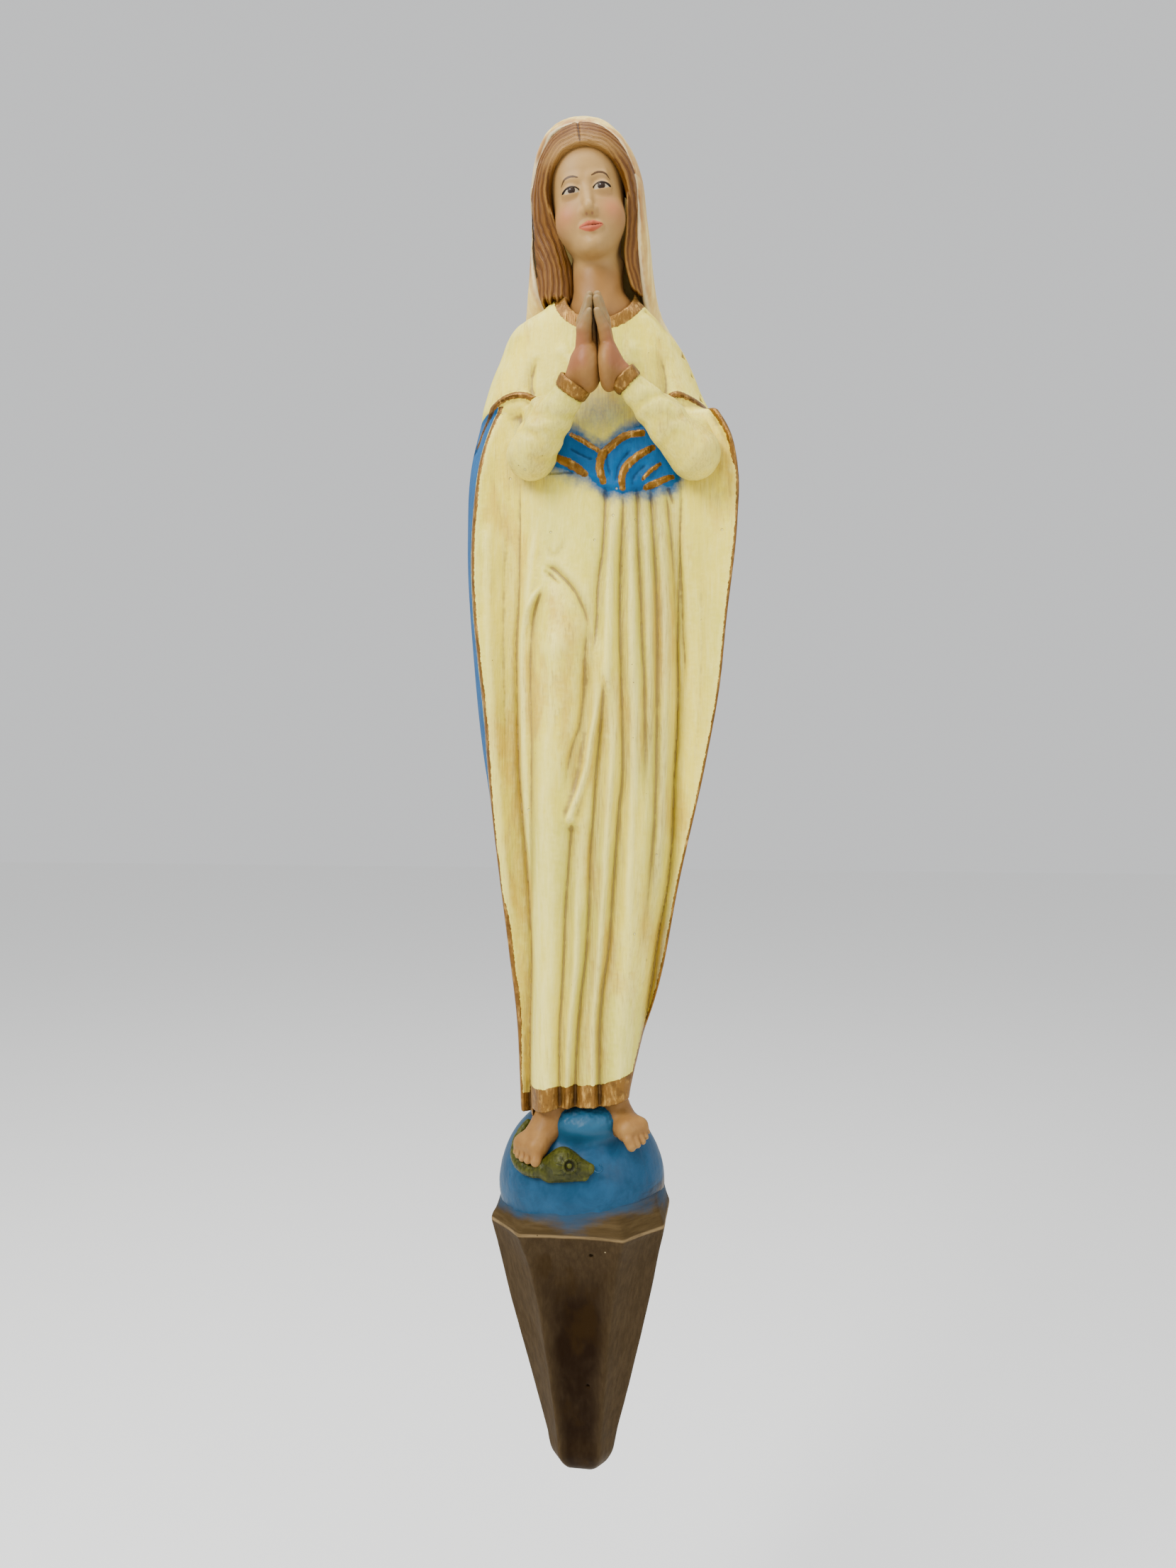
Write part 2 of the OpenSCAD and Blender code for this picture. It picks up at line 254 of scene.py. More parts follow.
def cavity(verts, quads, reach, step):
    """Positive in hollows and negative on ridges, as a share of the reach in millimetres."""
    edges = mesh_edges(quads)
    rounds = max(2, int((reach / step) ** 2 * 1.5))
    smooth = verts.copy()
    for _ in range(rounds):
        smooth = neighbour_mean(smooth, edges, len(verts))
    return ((smooth - verts) * vertex_normals(verts, quads)).sum(1) / reach


# ---------------------------------------------------------------- pieces

def make_piece(name, shape, material, replaces, slot, step, reach=1.4, **paint):
    """Puts a grown mesh into the scene as the piece that replaces CAD nodes, its paint as attributes."""
    verts, quads = shape
    mesh = bpy.data.meshes.new(name)
    mesh.vertices.add(len(verts))
    mesh.vertices.foreach_set("co", (verts * MM).astype(np.float32).ravel())
    mesh.loops.add(quads.size)
    mesh.loops.foreach_set("vertex_index", quads.astype(np.int32).ravel())
    mesh.polygons.add(len(quads))
    mesh.polygons.foreach_set("loop_start", np.arange(0, quads.size, 4, dtype=np.int32))
    mesh.update(calc_edges=True)
    mesh.polygons.foreach_set("use_smooth", np.ones(len(quads), bool))
    paint["cavity"] = cavity(verts, quads, reach, step)
    for key, values in paint.items():
        layer = mesh.attributes.new(key, "FLOAT", "POINT")
        layer.data.foreach_set("value", np.asarray(values, np.float32))
    mesh.materials.append(material)
    piece = bpy.data.objects.new(name, mesh)
    bpy.context.scene.collection.objects.link(piece)
    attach(piece, BODY)
    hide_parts(*replaces)
    return piece


# ---------------------------------------------------------------- relief of the body, seen from the front

# Mantle's front edge on the viewer's left, and its widest outline on both sides: rows of (z, x).
EDGE_LEFT = [(46, -26), (60, -26.5), (87, -27.5), (120, -31), (150, -34.5), (174, -37), (195, -38.5),
             (220, -40),
             (244, -42.5), (267, -44.5), (295, -44.8), (317, -42.8), (330, -40.5), (345, -36), (356, -32)]
WIDE_LEFT = [(46, -29.4), (80, -30.2), (120, -34.2), (160, -39.2), (180, -42.6), (200, -46.2), (250, -51.5),
             (300, -54), (335, -52.2), (352, -48.2), (362, -45.6), (371, -42.8), (380, -38), (388, -30),
             (391, -25.5),
             (394, -19.5), (400, -11), (402, -8)]
WIDE_RIGHT = [(46, 21.4), (58, 22.8), (80, 28.6), (100, 34.5), (150, 44.2), (200, 55), (230, 60.3),
              (260, 63.3),
              (300, 67.6), (320, 68), (335, 65.3), (352, 57.5), (362, 52.5), (371, 49), (380, 44.5),
              (388, 36),
              (394, 30), (399, 25.5)]
# Seams between gown and mantle, along valleys.
SEAM_LEFT = [(40, -22), (59, -22), (85, -21.5), (118, -20.5), (155, -22.5), (194, -25.5), (235, -26.2),
             (273, -24.5), (312, -24), (360, -24)]
SEAM_RIGHT = [(40, 23), (52, 24), (67, 25), (93, 29), (125, 34), (146, 38), (194, 41), (221, 42.5),
              (250, 42.5),
              (300, 44), (360, 44)]
# How far the gown's front, the lining and the mantle's edge stand out of the wall: rows of (z, out).
GOWN_OUT = [(46, 43), (120, 48.5), (200, 53), (250, 53.5), (290, 49.5), (312, 47), (340, 46), (360, 46),
            (375, 45),
            (388, 43), (399, 40)]
LINING_OUT = [(46, 29), (120, 34), (200, 38), (300, 41), (340, 41), (352, 38), (396, 38)]
EDGE_OUT = [(46, 30), (120, 35.5), (200, 40), (300, 43.5), (340, 43), (356, 39), (396, 38)]

RIM_LEFT = [(-17, 353.5), (-22, 356), (-28, 356.5), (-34, 355), (-39, 352), (-43, 347), (-46, 340)]
RIM_RIGHT = [(38.5, 353), (43, 355), (49, 354), (54, 352), (58, 347), (62, 341), (65.5, 333), (67.5, 324)]

SASH_TOP = [(-26, 342), (-10, 341), (-3.5, 339), (3, 335.5), (11.5, 331), (17.5, 334.5), (23.5, 338),
            (32, 340),
            (46, 336)]
SASH_BOTTOM = [(-26, 326), (-9, 325), (4.5, 319.5), (14.5, 314), (23.5, 312), (30.5, 314), (41, 315.5),
               (46, 317)]
# Gilt stripes of the sash: points and half width.
STRIPES = [([(-1.5, 337.5), (4.5, 334), (10.5, 330)], 1.3),
           ([(-8.5, 328), (-2, 325), (4.5, 320.5)], 1.9),
           ([(28.5, 336.8), (22, 336.2), (16.5, 332.8), (12.2, 328.5), (10.8, 323), (12.3, 317)], 2.0),
           ([(33, 330.5), (26.5, 326.8), (22, 322.8), (20.2, 318.5), (20.5, 314)], 1.8),
           ([(36, 323.5), (32.5, 321), (29, 317.5)], 1.0),
           ([(41, 318.2), (35.5, 316.2), (30, 314)], 1.4)]
HEM_BOTTOM = [(-26, 50), (-15, 50), (-7.5, 51.5), (3, 52), (12, 52.5), (18, 54), (26, 57)]
HEM_BAND = 10.0


class Relief:
    """Height of the figure's front out of the wall, over a grid in x and z."""

    def __init__(self, low, high, step):
        self.low, self.step = low, step
        xs = np.arange(low[0], high[0], step)
        zs = np.arange(low[1], high[1], step)
        self.x, self.z = np.meshgrid(xs, zs, indexing="ij")
        self.h = np.zeros_like(self.x)
        self.wash = np.zeros_like(self.x)

    def near(self, points, reach):
        """Window round a curve, with the signed distance (positive on the right going down) and the share."""
        line = curve(points)
        lo = line.min(0) - reach
        hi = line.max(0) + reach
        i0, k0 = (max(0, int((lo[k] - self.low[k]) / self.step)) for k in (0, 1))
        i1, k1 = (int((hi[k] - self.low[k]) / self.step) + 2 for k in (0, 1))
        window = (slice(i0, i1), slice(k0, k1))
        x, z = self.x[window], self.z[window]
        best = np.full(x.shape, 1e9)
        side = np.ones(x.shape)
        share = np.zeros(x.shape)
        spans = len(line) - 1
        for n, (a, b) in enumerate(zip(line[:-1], line[1:])):
            d = b - a
            ox, oz = x - a[0], z - a[1]
            t = np.clip((ox * d[0] + oz * d[1]) / (d @ d), 0, 1)
            dist = np.hypot(ox - t * d[0], oz - t * d[1])
            closer = dist < best
            best = np.where(closer, dist, best)
            side = np.where(closer, np.sign(d[0] * oz - d[1] * ox), side)
            share = np.where(closer, (n + t) / spans, share)
        return window, best * side, share

    def crease(self, points, depth, left, right, start=0.12, end=0.12, wash=0.0, spread=2.0):
        """Valley with its own width on each side, fading at its ends, and a tan wash to the right of it that
        is partly painted shade.
        """
        window, d, t = self.near(points, 6 * max(left, right))
        fade = ease(0, start, t) * ease(0, end, 1 - t) if start and end else (
            ease(0, start, t) if start else (ease(0, end, 1 - t) if end else 1.0))
        width = np.where(d < 0, left, right)
        round_off = 0.35
        self.h[window] -= 1.4 * fade * depth * np.exp(-(np.hypot(d, round_off) - round_off) / width)
        # tan wash with painted shade beside the valley, reaching further on its right
        stain_and_shade = np.exp(-np.maximum(-d - 0.4, 0) / 0.5) * np.exp(-(np.maximum(d, 0) / (1.6 * spread)) ** 2)
        self.wash[window] = np.maximum(self.wash[window], wash * fade * stain_and_shade)

    def ridge(self, points, height, width, start=0.15, end=0.15):
        window, d, t = self.near(points, 3 * width)
        fade = np.ones_like(t)
        if start:
            fade = fade * ease(0, start, t)
        if end:
            fade = fade * ease(0, end, 1 - t)
        self.h[window] += 1.3 * fade * height * np.exp(-(d / width) ** 2)

    def bump(self, at, size, height):
        self.h += height * np.exp(-((self.x - at[0]) / size[0]) ** 2 - ((self.z - at[1]) / size[1]) ** 2)

    def sample(self, field, x, z):
        i = np.clip((x - self.low[0]) / self.step, 0, field.shape[0] - 1.001)
        k = np.clip((z - self.low[1]) / self.step, 0, field.shape[1] - 1.001)
        i0, k0 = i.astype(int), k.astype(int)
        a, b = i - i0, k - k0
        return ((1 - a) * (1 - b) * field[i0, k0] + a * (1 - b) * field[i0 + 1, k0]
                + (1 - a) * b * field[i0, k0 + 1] + a * b * field[i0 + 1, k0 + 1])


def base_relief():
    """Body without folds: round gown, flat lining to both sides, and round shoulders."""
    body = Relief((-64, 40), (76, 402), 0.3)
    x, z = body.x, body.z
    zs = z[0]
    left, right = track(SEAM_LEFT, zs), track(SEAM_RIGHT, zs)
    t = (x - (left + right) / 2) / ((right - left) / 2)
    gown, lining, edge = track(GOWN_OUT, zs), track(LINING_OUT, zs), track(EDGE_OUT, zs)
    round_front = np.clip(1 - np.abs(t) ** 2.3, 0, 1) ** 0.55
    wide_l, wide_r = track(EDGE_LEFT, zs), track(WIDE_RIGHT, zs)
    to_edge = np.where(x < left, (left - x) / np.maximum(left - wide_l, 3),
                       (x - right) / np.maximum(wide_r - right, 3))
    lower = lining + (gown - lining) * round_front + (edge - lining) * ease(0.2, 1.0, to_edge)
    out_l, out_r = track(WIDE_LEFT, zs), track(WIDE_RIGHT, zs)
    s = np.clip((x - (out_l + out_r) / 2) / ((out_r - out_l) / 2), -1, 1)
    side = 9.0 + 21.0 * ease(376, 391, z)
    upper = side + (gown - side) * np.clip(1 - np.abs(s) ** 2.8, 0, 1) ** 0.5
    body.h = lower + (upper - lower) * ease(346.5, 353, z)
    body.h += ease(349.5, 352.5, z) * (1 - ease(356, 372, z)) * 1.4 * ease(0.55, 0.8, np.abs(s))
    return body


def fold_gown(body):
    """Folds of the skirt, each a curve from the top down in (x, z)."""
    body.bump((-5, 262), (13, 20), 4.5)
    body.bump((12, 292), (22, 14), 1.2)
    body.ridge([(-6, 262), (-9, 225), (-12, 180), (-12.5, 130), (-14, 90), (-14, 44)], 3.6, 8.0, 0.1, 0)
    # pleats from the sash down, right of the bent knee
    body.crease([(13, 317), (12.5, 291), (10.5, 274), (10, 257), (8.5, 240)], 2.2, 2.2, 2.4, 0.06, 0.25,
                0.7, 2.4)
    body.crease([(20.8, 317), (19.5, 280), (19.5, 257), (20.5, 218), (20.5, 194), (19, 180), (17.5, 162),
                 (15.5, 136),
                 (14, 119), (11.5, 104), (10, 88), (9.5, 68), (9.5, 44)], 2.9, 1.5, 3.4, 0.04, 0, 0.95, 2.9)
    body.crease([(26.0, 317), (27, 286), (28, 268), (28.5, 251), (29.5, 233), (29.8, 205), (30, 178)],
                2.5, 1.3, 2.8, 0.04, 0.2, 0.95, 2.4)
    body.crease([(31.6, 317), (33.5, 285), (34.5, 262), (34.5, 233), (34.2, 205), (33.5, 178), (32, 158),
                 (30, 136),
                 (27, 112)], 2.8, 1.6, 3.0, 0.04, 0.25, 0.95, 2.6)
    body.crease([(38.0, 318), (40.5, 291), (42, 272), (42.5, 250), (42.5, 221), (41, 194), (40, 167),
                 (37, 143),
                 (34, 125), (31.5, 106), (29, 93), (27, 78), (25, 62)], 2.6, 2.2, 2.6, 0.04, 0.1, 0.7, 2.2)
    body.crease([(43, 302), (44.5, 277), (45, 255), (45.8, 241), (44.8, 221)], 1.2, 1.0, 1.6, 0.2, 0.3, 0.4,
                1.0)
    for points, height in (([(16.3, 304), (15.5, 280), (15, 250), (14.5, 225)], 1.2),
                           ([(24, 305), (24.5, 270), (25.2, 235), (25.5, 200), (24, 160), (22, 120)], 1.1),
                           ([(30.3, 304), (31.5, 270), (32.2, 235), (32, 205)], 0.9),
                           ([(36.3, 304), (38, 275), (38.8, 250), (38.6, 220), (37, 180), (34, 145)], 1.1)):
        body.ridge(points, height, 2.0)
    # knee and shin of the viewer's left leg
    body.crease([(-13.5, 281.5), (-9, 280.5), (-4.5, 276.5), (0.5, 271), (3.5, 265.5), (5.7, 260),
                 (7, 252)],
                1.7, 2.4, 1.3, 0.25, 0.2, 0.75, 1.6)
    for shift in (0, 1.5, 3.0):
        body.crease([(-13 + shift, 279.5 - shift), (-10.2 + shift, 278.4 - shift),
                     (-7.3 + shift, 275.8 - shift)],
                    0.45, 0.5, 0.5, 0.3, 0.3, 0.55, 0.6)
    body.crease([(-12.5, 274), (-16, 264), (-18, 252), (-18.5, 234), (-18, 210), (-18.3, 185), (-19.3, 156),
                 (-20, 122)],
                1.7, 1.2, 2.4, 0.12, 0.15, 0.8, 1.6)
    body.ridge([(-13, 274), (-19, 265), (-21.8, 257), (-22.8, 247), (-22.6, 225), (-22, 195), (-21.8, 160)],
               1.5, 1.7, 0.1, 0.2)
    body.crease([(-22.5, 300), (-24.5, 273), (-26.3, 252), (-26.2, 222), (-25.5, 194), (-24, 172),
                 (-22.5, 155),
                 (-21, 130), (-20.5, 110), (-21.2, 85), (-22, 62), (-22, 44)], 2.2, 2.2, 1.5, 0.3, 0, 0.8,
                 1.5)
    # wide channel beside the shin, and the fold that crosses it
    body.crease([(7.3, 262), (5.2, 243), (4, 225), (2.5, 214), (0, 206), (-2, 196), (-3, 183)],
                1.7, 1.5, 2.2, 0.15, 0.25, 0.75, 3.2)
    body.ridge([(7, 248), (6, 228), (4.5, 210), (1.5, 193), (-1.5, 180)], -1.8, 2.8, 0.2, 0.3)
    body.ridge([(12.5, 236), (10.5, 221), (8.2, 210), (6, 197), (3, 187), (0, 178.5), (-2.3, 171)], 1.7,
               1.5, 0.3, 0.12)
    body.crease([(14.5, 241), (13.2, 230), (11.7, 218), (10.5, 205), (9.5, 194), (8.5, 178), (7, 162),
                 (6, 136),
                 (4.5, 116), (2.2, 100), (0.5, 81), (-0.5, 65), (-1, 44)], 2.9, 1.5, 3.2, 0.2, 0, 1.0, 3.2)
    body.crease([(-0.5, 176), (-1.2, 168), (-2.2, 156), (-3.8, 137), (-4.6, 119), (-5.8, 100), (-7, 81),
                 (-7.2, 44)],
                2.7, 2.2, 2.6, 0.12, 0, 0.9, 2.6)
    body.ridge([(17.2, 221), (16.5, 199), (15.3, 178), (13.5, 151), (11.8, 130), (9.7, 104), (8, 84),
                (8, 44)],
               1.2, 1.4, 0.2, 0)
    body.ridge([(2.2, 160), (1.5, 135), (1, 115), (-0.7, 98), (-2.5, 81), (-3.5, 60), (-3.8, 44)], 1.2, 1.4,
               0.2, 0)
    body.ridge([(26.5, 170), (25, 140), (22.5, 110), (20, 80), (18.5, 44)], 1.1, 4.0, 0.2, 0)
    # small hooked fold over the thigh
    body.crease([(-12, 297), (-11.3, 290), (-9.2, 286.4), (-6.3, 287), (-3.8, 292), (-2.8, 299)],
                0.45, 1.1, 1.7, 0.4, 0.4, 0.35, 1.6)
    body.ridge([(-17, 303), (-18.5, 285), (-20.5, 268), (-20, 255)], 1.4, 2.6, 0.3, 0.3)
    body.crease([(-30, 312), (-31.5, 280), (-32, 250), (-31.5, 215), (-30, 180)], 0.8, 3.0, 2.5, 0.3, 0.3,
                0.35, 2.5)
    body.ridge([(-37, 310), (-38.5, 280), (-37.5, 240), (-35.5, 200), (-32.5, 160), (-28.5, 120)], 0.9, 2.6)
    body.crease([(52, 300), (53, 260), (52, 220), (48, 180)], 0.6, 3.0, 3.5, 0.3, 0.3, 0.2, 2.5)


def fold_upper(body):
    """Waist, sash, chest and shoulder shapes."""
    # hollow of the chest between the forearms, and the waist drawn in by the sash
    body.bump((12, 338), (12, 9), -1.6)
    body.bump((8, 391), (17, 7), 1.2)
    body.crease([(38.8, 315), (40.3, 311), (42, 304)], 1.0, 0.6, 1.0, 0.2, 0.4, 0.7, 1.0)
    body.crease([(-17, 352), (-19, 358), (-18.5, 366), (-15, 374)], 1.6, 2.4, 3.0, 0.1, 0.4, 0.45, 2.0)
    body.crease([(37.5, 352), (37.8, 360), (36.5, 368), (33, 376)], 1.8, 2.4, 3.0, 0.1, 0.4, 0.5, 2.4)
    body.ridge([(-9, 377), (-3, 371), (1, 363)], 0.8, 3.0, 0.3, 0.3)
    body.ridge([(26, 378), (23, 371), (23, 364)], 0.7, 3.0, 0.3, 0.3)
    body.crease([(-27, 389.5), (-21, 393), (-14, 397)], 1.2, 0.8, 1.4, 0.3, 0.1, 0.4, 1.5)
    body.crease([(28, 392.5), (34, 388.5), (39.5, 383)], 1.2, 1.4, 0.8, 0.1, 0.3, 0.4, 1.5)
    for rim in (RIM_LEFT, RIM_RIGHT):
        body.ridge(rim, 1.5, 1.5, 0.06, 0.2)


def blurred(field, cells):
    """Mean over a square window, taken twice."""
    for axis in (0, 1, 0, 1):
        pad = [(cells + 1, cells) if k == axis else (0, 0) for k in (0, 1)]
        total = np.cumsum(np.pad(field, pad, mode="edge"), axis=axis)
        count = total.shape[axis]
        far = np.take(total, range(2 * cells + 1, count), axis=axis)
        field = (far - np.take(total, range(count - 2 * cells - 1), axis=axis)) / (2 * cells + 1)
    return field


def fine_relief(body):
    """Hand-worked plaster is never quite even."""
    p = (body.x, np.zeros_like(body.x), body.z * 0.45)
    body.h += 0.34 * waves(p, 17.0, 3) + 0.10 * waves(p, 5.5, 4)
    flat = (body.x, np.zeros_like(body.x), body.z)
    body.h += 0.05 * waves(flat, 2.2, 6)
    # painted shade with the tan wash in the hollows between folds, and a painted highlight on the crests
    hollow = blurred(body.h, 13) - body.h
    body.wash = np.maximum(body.wash, 0.60 * ease(0.35, 2.2, hollow))
    body.crest = ease(0.25, 1.6, -hollow)
    # painted shade on the body round each forearm
    for sign in (-1, 1):
        a, b = (ELBOW[sign][0], ELBOW[sign][2]), (WRIST[sign][0], WRIST[sign][2])
        near = limb((body.x, body.z), a, b, 10.5, 7.0)
        sleeve_shade = np.exp(-(np.maximum(near, 0) / (3.0 + 1.5 * waves(flat, 12.0, 7))) ** 2)
        body.wash = np.maximum(body.wash, 0.62 * sleeve_shade)


# ---------------------------------------------------------------- body pieces cut from the relief

def wide_left(y, z):
    """Outline of the mantle's outer face on the viewer's left, from the wall to its front edge."""
    wide, edge, out = track(WIDE_LEFT, z), track(EDGE_LEFT, z), track(EDGE_OUT, z)
    t = np.clip((-y - 14.0) / (out - 14.0), 0, 1)
    lower = wide + (edge - wide) * t ** 1.25 + 1.6 * np.clip((14 + y) / 14.0, 0, 1) ** 2
    upper = wide + 0.8 * np.clip((10 + y) / 10.0, 0, 1)
    return lower + (upper - lower) * ease(350, 361, z)


def wide_right(y, z):
    wide = track(WIDE_RIGHT, z)
    lower = wide + 0.5 - 5.8 * np.clip((42 + y) / 42.0, 0, 1)
    upper = wide - 1.4 * np.clip((12 + y) / 12.0, 0, 1) ** 2 - 0.6 * ease(-26, -40, y)
    return lower + (upper - lower) * ease(336, 356, z)


def in_body(p, body, height, back):
    """The whole figure below the neck, between a back plane and the relief's height."""
    x, y, z = p
    h = body.sample(height, x, z)
    front = -y - h
    sides = np.maximum(wide_left(y, z) - x, x - wide_right(y, z))
    d = common(front * 0.75, sides * 0.9, 1.3)
    return np.maximum(d, y + back)


def region(body, distance, dive=0.4, width=1.6):
    """Height field for one piece: exact inside its region, and sinking under its neighbours outside it."""
    return body.h - dive * ease(0, -width, distance)


def cut_out(body, distance, back, low, high, step, extra=None):
    """Piece of the body over a region given on the relief's grid."""
    height = region(body, distance)

    def field(p):
        d = in_body(p, body, height, back)
        d = np.maximum(d, -2.4 - body.sample(distance, p[0], p[2]))
        if extra is not None:
            d = np.maximum(d, extra(p))
        return d
    return grown(field, low, high, step)


def paint_of_cloth(shape, body):
    """Gilt, blue, tan wash with painted shade, and the painted highlight on crests for every vertex of a
    cloth piece: gilt is a signed distance in millimetres.
    """
    x, y, z = shape[0].T
    gilt = np.full(len(x), -9.0)
    # hem band of the gown, ragged where the brush ran out
    over_gown = (x > track(SEAM_LEFT, z) - 0.4) & (x < track(SEAM_RIGHT, z) + 0.6) & (y < -12)
    band = HEM_BAND - (z - track(HEM_BOTTOM, x)) + 1.2 * ease(10, 24, x) + 0.5 * waves((x, 0 * x, 0 * x),
                                                                                       5.0, 21)
    gilt = np.where(over_gown, np.maximum(gilt, band), gilt)
    # front edges of the mantle and the rims over the arms
    edge = track(EDGE_LEFT, z)
    half = 1.0 + 1.1 * ease(145, 130, z) * ease(75, 88, z) + 0.25 * waves((0 * x, 0 * x, z), 16.0, 5)
    below = z < 353
    gilt = np.where(below & (x < -20), np.maximum(gilt, half - np.abs(x - edge)), gilt)
    right = wide_right(y, z)
    front_edge = below & (x > 20) & (y < edge_depth(z) + 1.0)
    gilt = np.where(front_edge, np.maximum(gilt, 1.2 - (right - x)), gilt)
    rim = np.full(len(x), 99.0)
    for points in (RIM_LEFT, RIM_RIGHT):
        dist, _ = along_path((x, z), points)
        rim = np.minimum(rim, dist)
    gilt = np.where(y < -8, np.maximum(gilt, 1.5 - rim), gilt)
    gilt = np.where((x < -20.5) & (z < 70), np.maximum(gilt, 54.5 - z), gilt)
    # collar: a band round the neck opening
    hole = egg((x, z), NECK_HOLE[0], NECK_HOLE[1])
    gilt = np.where((z > 380) & (y < -14), np.maximum(gilt, COLLAR_WIDTH - hole), gilt)
    # blue of the mantle's outside
    outer_left = ease(-0.9, -1.5, x - edge) * (x < -18)
    outer_right = ease(-2.2, -1.4, x - right) * ease(-1.0, 1.0, y - edge_depth(z)) * (x > 18)
    blue = np.maximum(outer_left * ease(150, 205, z), 0.8 * outer_right) * (z < 353)
    blue = np.where((x < 0) & (y > edge_depth(z)) & (z < 353), outer_left, blue)
    blue = np.where(y > -0.4, 0.0, blue)
    # sash: crisp paint inside and a soft spray outside it
    sash = np.minimum(track(SASH_TOP, x) - z, z - track(SASH_BOTTOM, x))
    uneven = 1.3 * waves((x, 0 * x, z), 9.0, 11)
    halo = 0.80 * ease(-10.5, 1.0, sash + 1.5 * uneven)
    spray = np.maximum(ease(-1.8, 0.4, sash + 0.8 * uneven), halo) * ease(-30, -21, x) * ease(49, 42,
                                                                                              x) * (y < -30)
    # painted shade in the chest's hollow between the forearms, laid on in blue
    chest_hollow_shade = 0.50 * np.exp(-((x - 11) / 15.0) ** 2 - ((z - 346) / 12.0) ** 2) * (y < -30)
    tint = 0.42 * ease(52, 75, z) * ease(190, 130, z) * ease(0.5, 3.0, x - track(SEAM_RIGHT, z))
    spray = np.maximum(spray, np.maximum(chest_hollow_shade, tint))
    for points, width in STRIPES:
        dist, t = along_path((x, z), points)
        taper = width * (0.75 + 0.25 * np.sin(math.pi * t))
        gilt = np.where(y < -30, np.maximum(gilt, taper - dist), gilt)
    wash = body.sample(body.wash, x, z) * ease(-24, -30, y)
    crest = body.sample(body.crest, x, z) * ease(-24, -30, y)
    return {"gilt": gilt, "blue": np.maximum(blue, spray), "wash": wash, "crest": crest}


# Neck opening in (x, z) as a middle and two radii, and the width of the collar round it.
NECK_HOLE = ((9.6, 399.5), (14.4, 12.6))
COLLAR_WIDTH = 5.4


def edge_depth(z):
    """Depth behind which the mantle's outside on the viewer's left is blue all the way down."""
    return -track(EDGE_OUT, z) + 5.0


def build_cloth(materials):
    body = base_relief()
    fold_gown(body)
    fold_upper(body)
    fine_relief(body)
    x, z = body.x, body.z
    left, right = track(SEAM_LEFT, z), track(SEAM_RIGHT, z)
    between = np.minimum(x - left, right - x)
    rim = np.where(x < 8, np.interp(x, *zip(*sorted(RIM_LEFT))), np.interp(x, *zip(*sorted(RIM_RIGHT))))
    rim_low = np.where(between > 0, 400, rim - 1.4)
    step = 0.5

    gown = np.minimum(between, 322 - z)
    shape = cut_out(body, gown, 9.9, (-30, -62, 44), (52, -9, 326), step,
                    lambda p: track(HEM_BOTTOM, p[0]) - p[2])
    make_piece("gown_skirt_cast", shape, materials["cloth"], ["gown_skirt"], "gown_paint", step, 1.6,
               **paint_of_cloth(shape, body))

    # the sash stands a little proud, and its ends pass under the forearms
    sash = np.minimum(np.minimum(track(SASH_TOP, x) - z, z - track(SASH_BOTTOM, x)),
                      np.minimum(x + 23.5, 43.5 - x))
    plain = body.h.copy()
    body.h = plain + 0.9 * ease(-0.5, 1.8, sash)
    for points, width in STRIPES:
        body.ridge(points, 0.7, width * 0.95, 0.08, 0.08)
    for points in ([(14.5, 334), (13.8, 326), (15.5, 318)], [(24.5, 331), (19, 324), (17.5, 316)],
                   [(31, 324.5), (25.5, 319), (24.5, 314)], [(-3, 332), (3, 328.5), (8.5, 326)]):
        body.crease(points, 0.5, 0.5, 0.8, 0.2, 0.2)
    shape = cut_out(body, sash, 9.9, (-28, -62, 305), (50, -9, 345), step)
    make_piece("sash_cast", shape, materials["cloth"], ["sash"], "sash_paint", step, 1.2,
               **paint_of_cloth(shape, body))
    body.h = plain

    bodice = np.maximum(np.minimum(between, z - 320), z - rim_low)
    shape = cut_out(body, bodice, 0.2, (-52, -62, 316), (74, 1, 402), step,
                    lambda p: np.maximum(np.maximum(p[2] - 400.5, neck_hole(p)), behind_shoulders(p)))
    make_piece("gown_bodice_cast", shape, materials["cloth"], ["gown_bodice"], "gown_paint", step, 1.6,
               **paint_of_cloth(shape, body))

    for name, sign in (("mantle_right", -1), ("mantle_left", 1)):
        own = np.where(x < 8, left - x, -99) if sign < 0 else np.where(x > 8, x - right, -99)
        own = np.minimum(own, rim + 0.4 - z)
        low = (-60, -50, 42) if sign < 0 else (20, -50, 54)
        high = (-15, 1, 362) if sign < 0 else (72, 1, 362)
        bottom = 46.0 if sign < 0 else 60.0
        shape = cut_out(body, own, 0.0, low, high, step, lambda p: bottom - p[2])
        make_piece(name + "_cast", shape, materials["cloth"], [name], "mantle_paint", step, 1.6,
                   **paint_of_cloth(shape, body))
    return body


def behind_shoulders(p):
    """The bodice reaches the wall only over the ends of the mantle, beside the poured back."""
    x, y, z = p
    beside = np.maximum(track(SEAM_LEFT, z) - x, x - track(SEAM_RIGHT, z))
    low = np.minimum(beside - 0.2, 352.1 - z)
    return np.minimum(y + 9.9, np.maximum(y + 0.2, -low))


def neck_hole(p):
    """Negative outside the neck: keeps the bodice clear of the throat's hollow."""
    hole = egg((p[0], p[2]), NECK_HOLE[0], NECK_HOLE[1])
    return -np.maximum(hole, -egg(p, (9.6, -20.0, 399.5), (15.5, 8.0, 14.0)) - 90)


# ---------------------------------------------------------------- materials

def shader_tree(name):
    material = bpy.data.materials.new(name)
    material.use_nodes = True
    nodes, links = material.node_tree.nodes, material.node_tree.links
    nodes.clear()
    out = nodes.new("ShaderNodeOutputMaterial")
    shader = nodes.new("ShaderNodeBsdfPrincipled")
    links.new(shader.outputs["BSDF"], out.inputs["Surface"])
    return material, nodes, links, shader


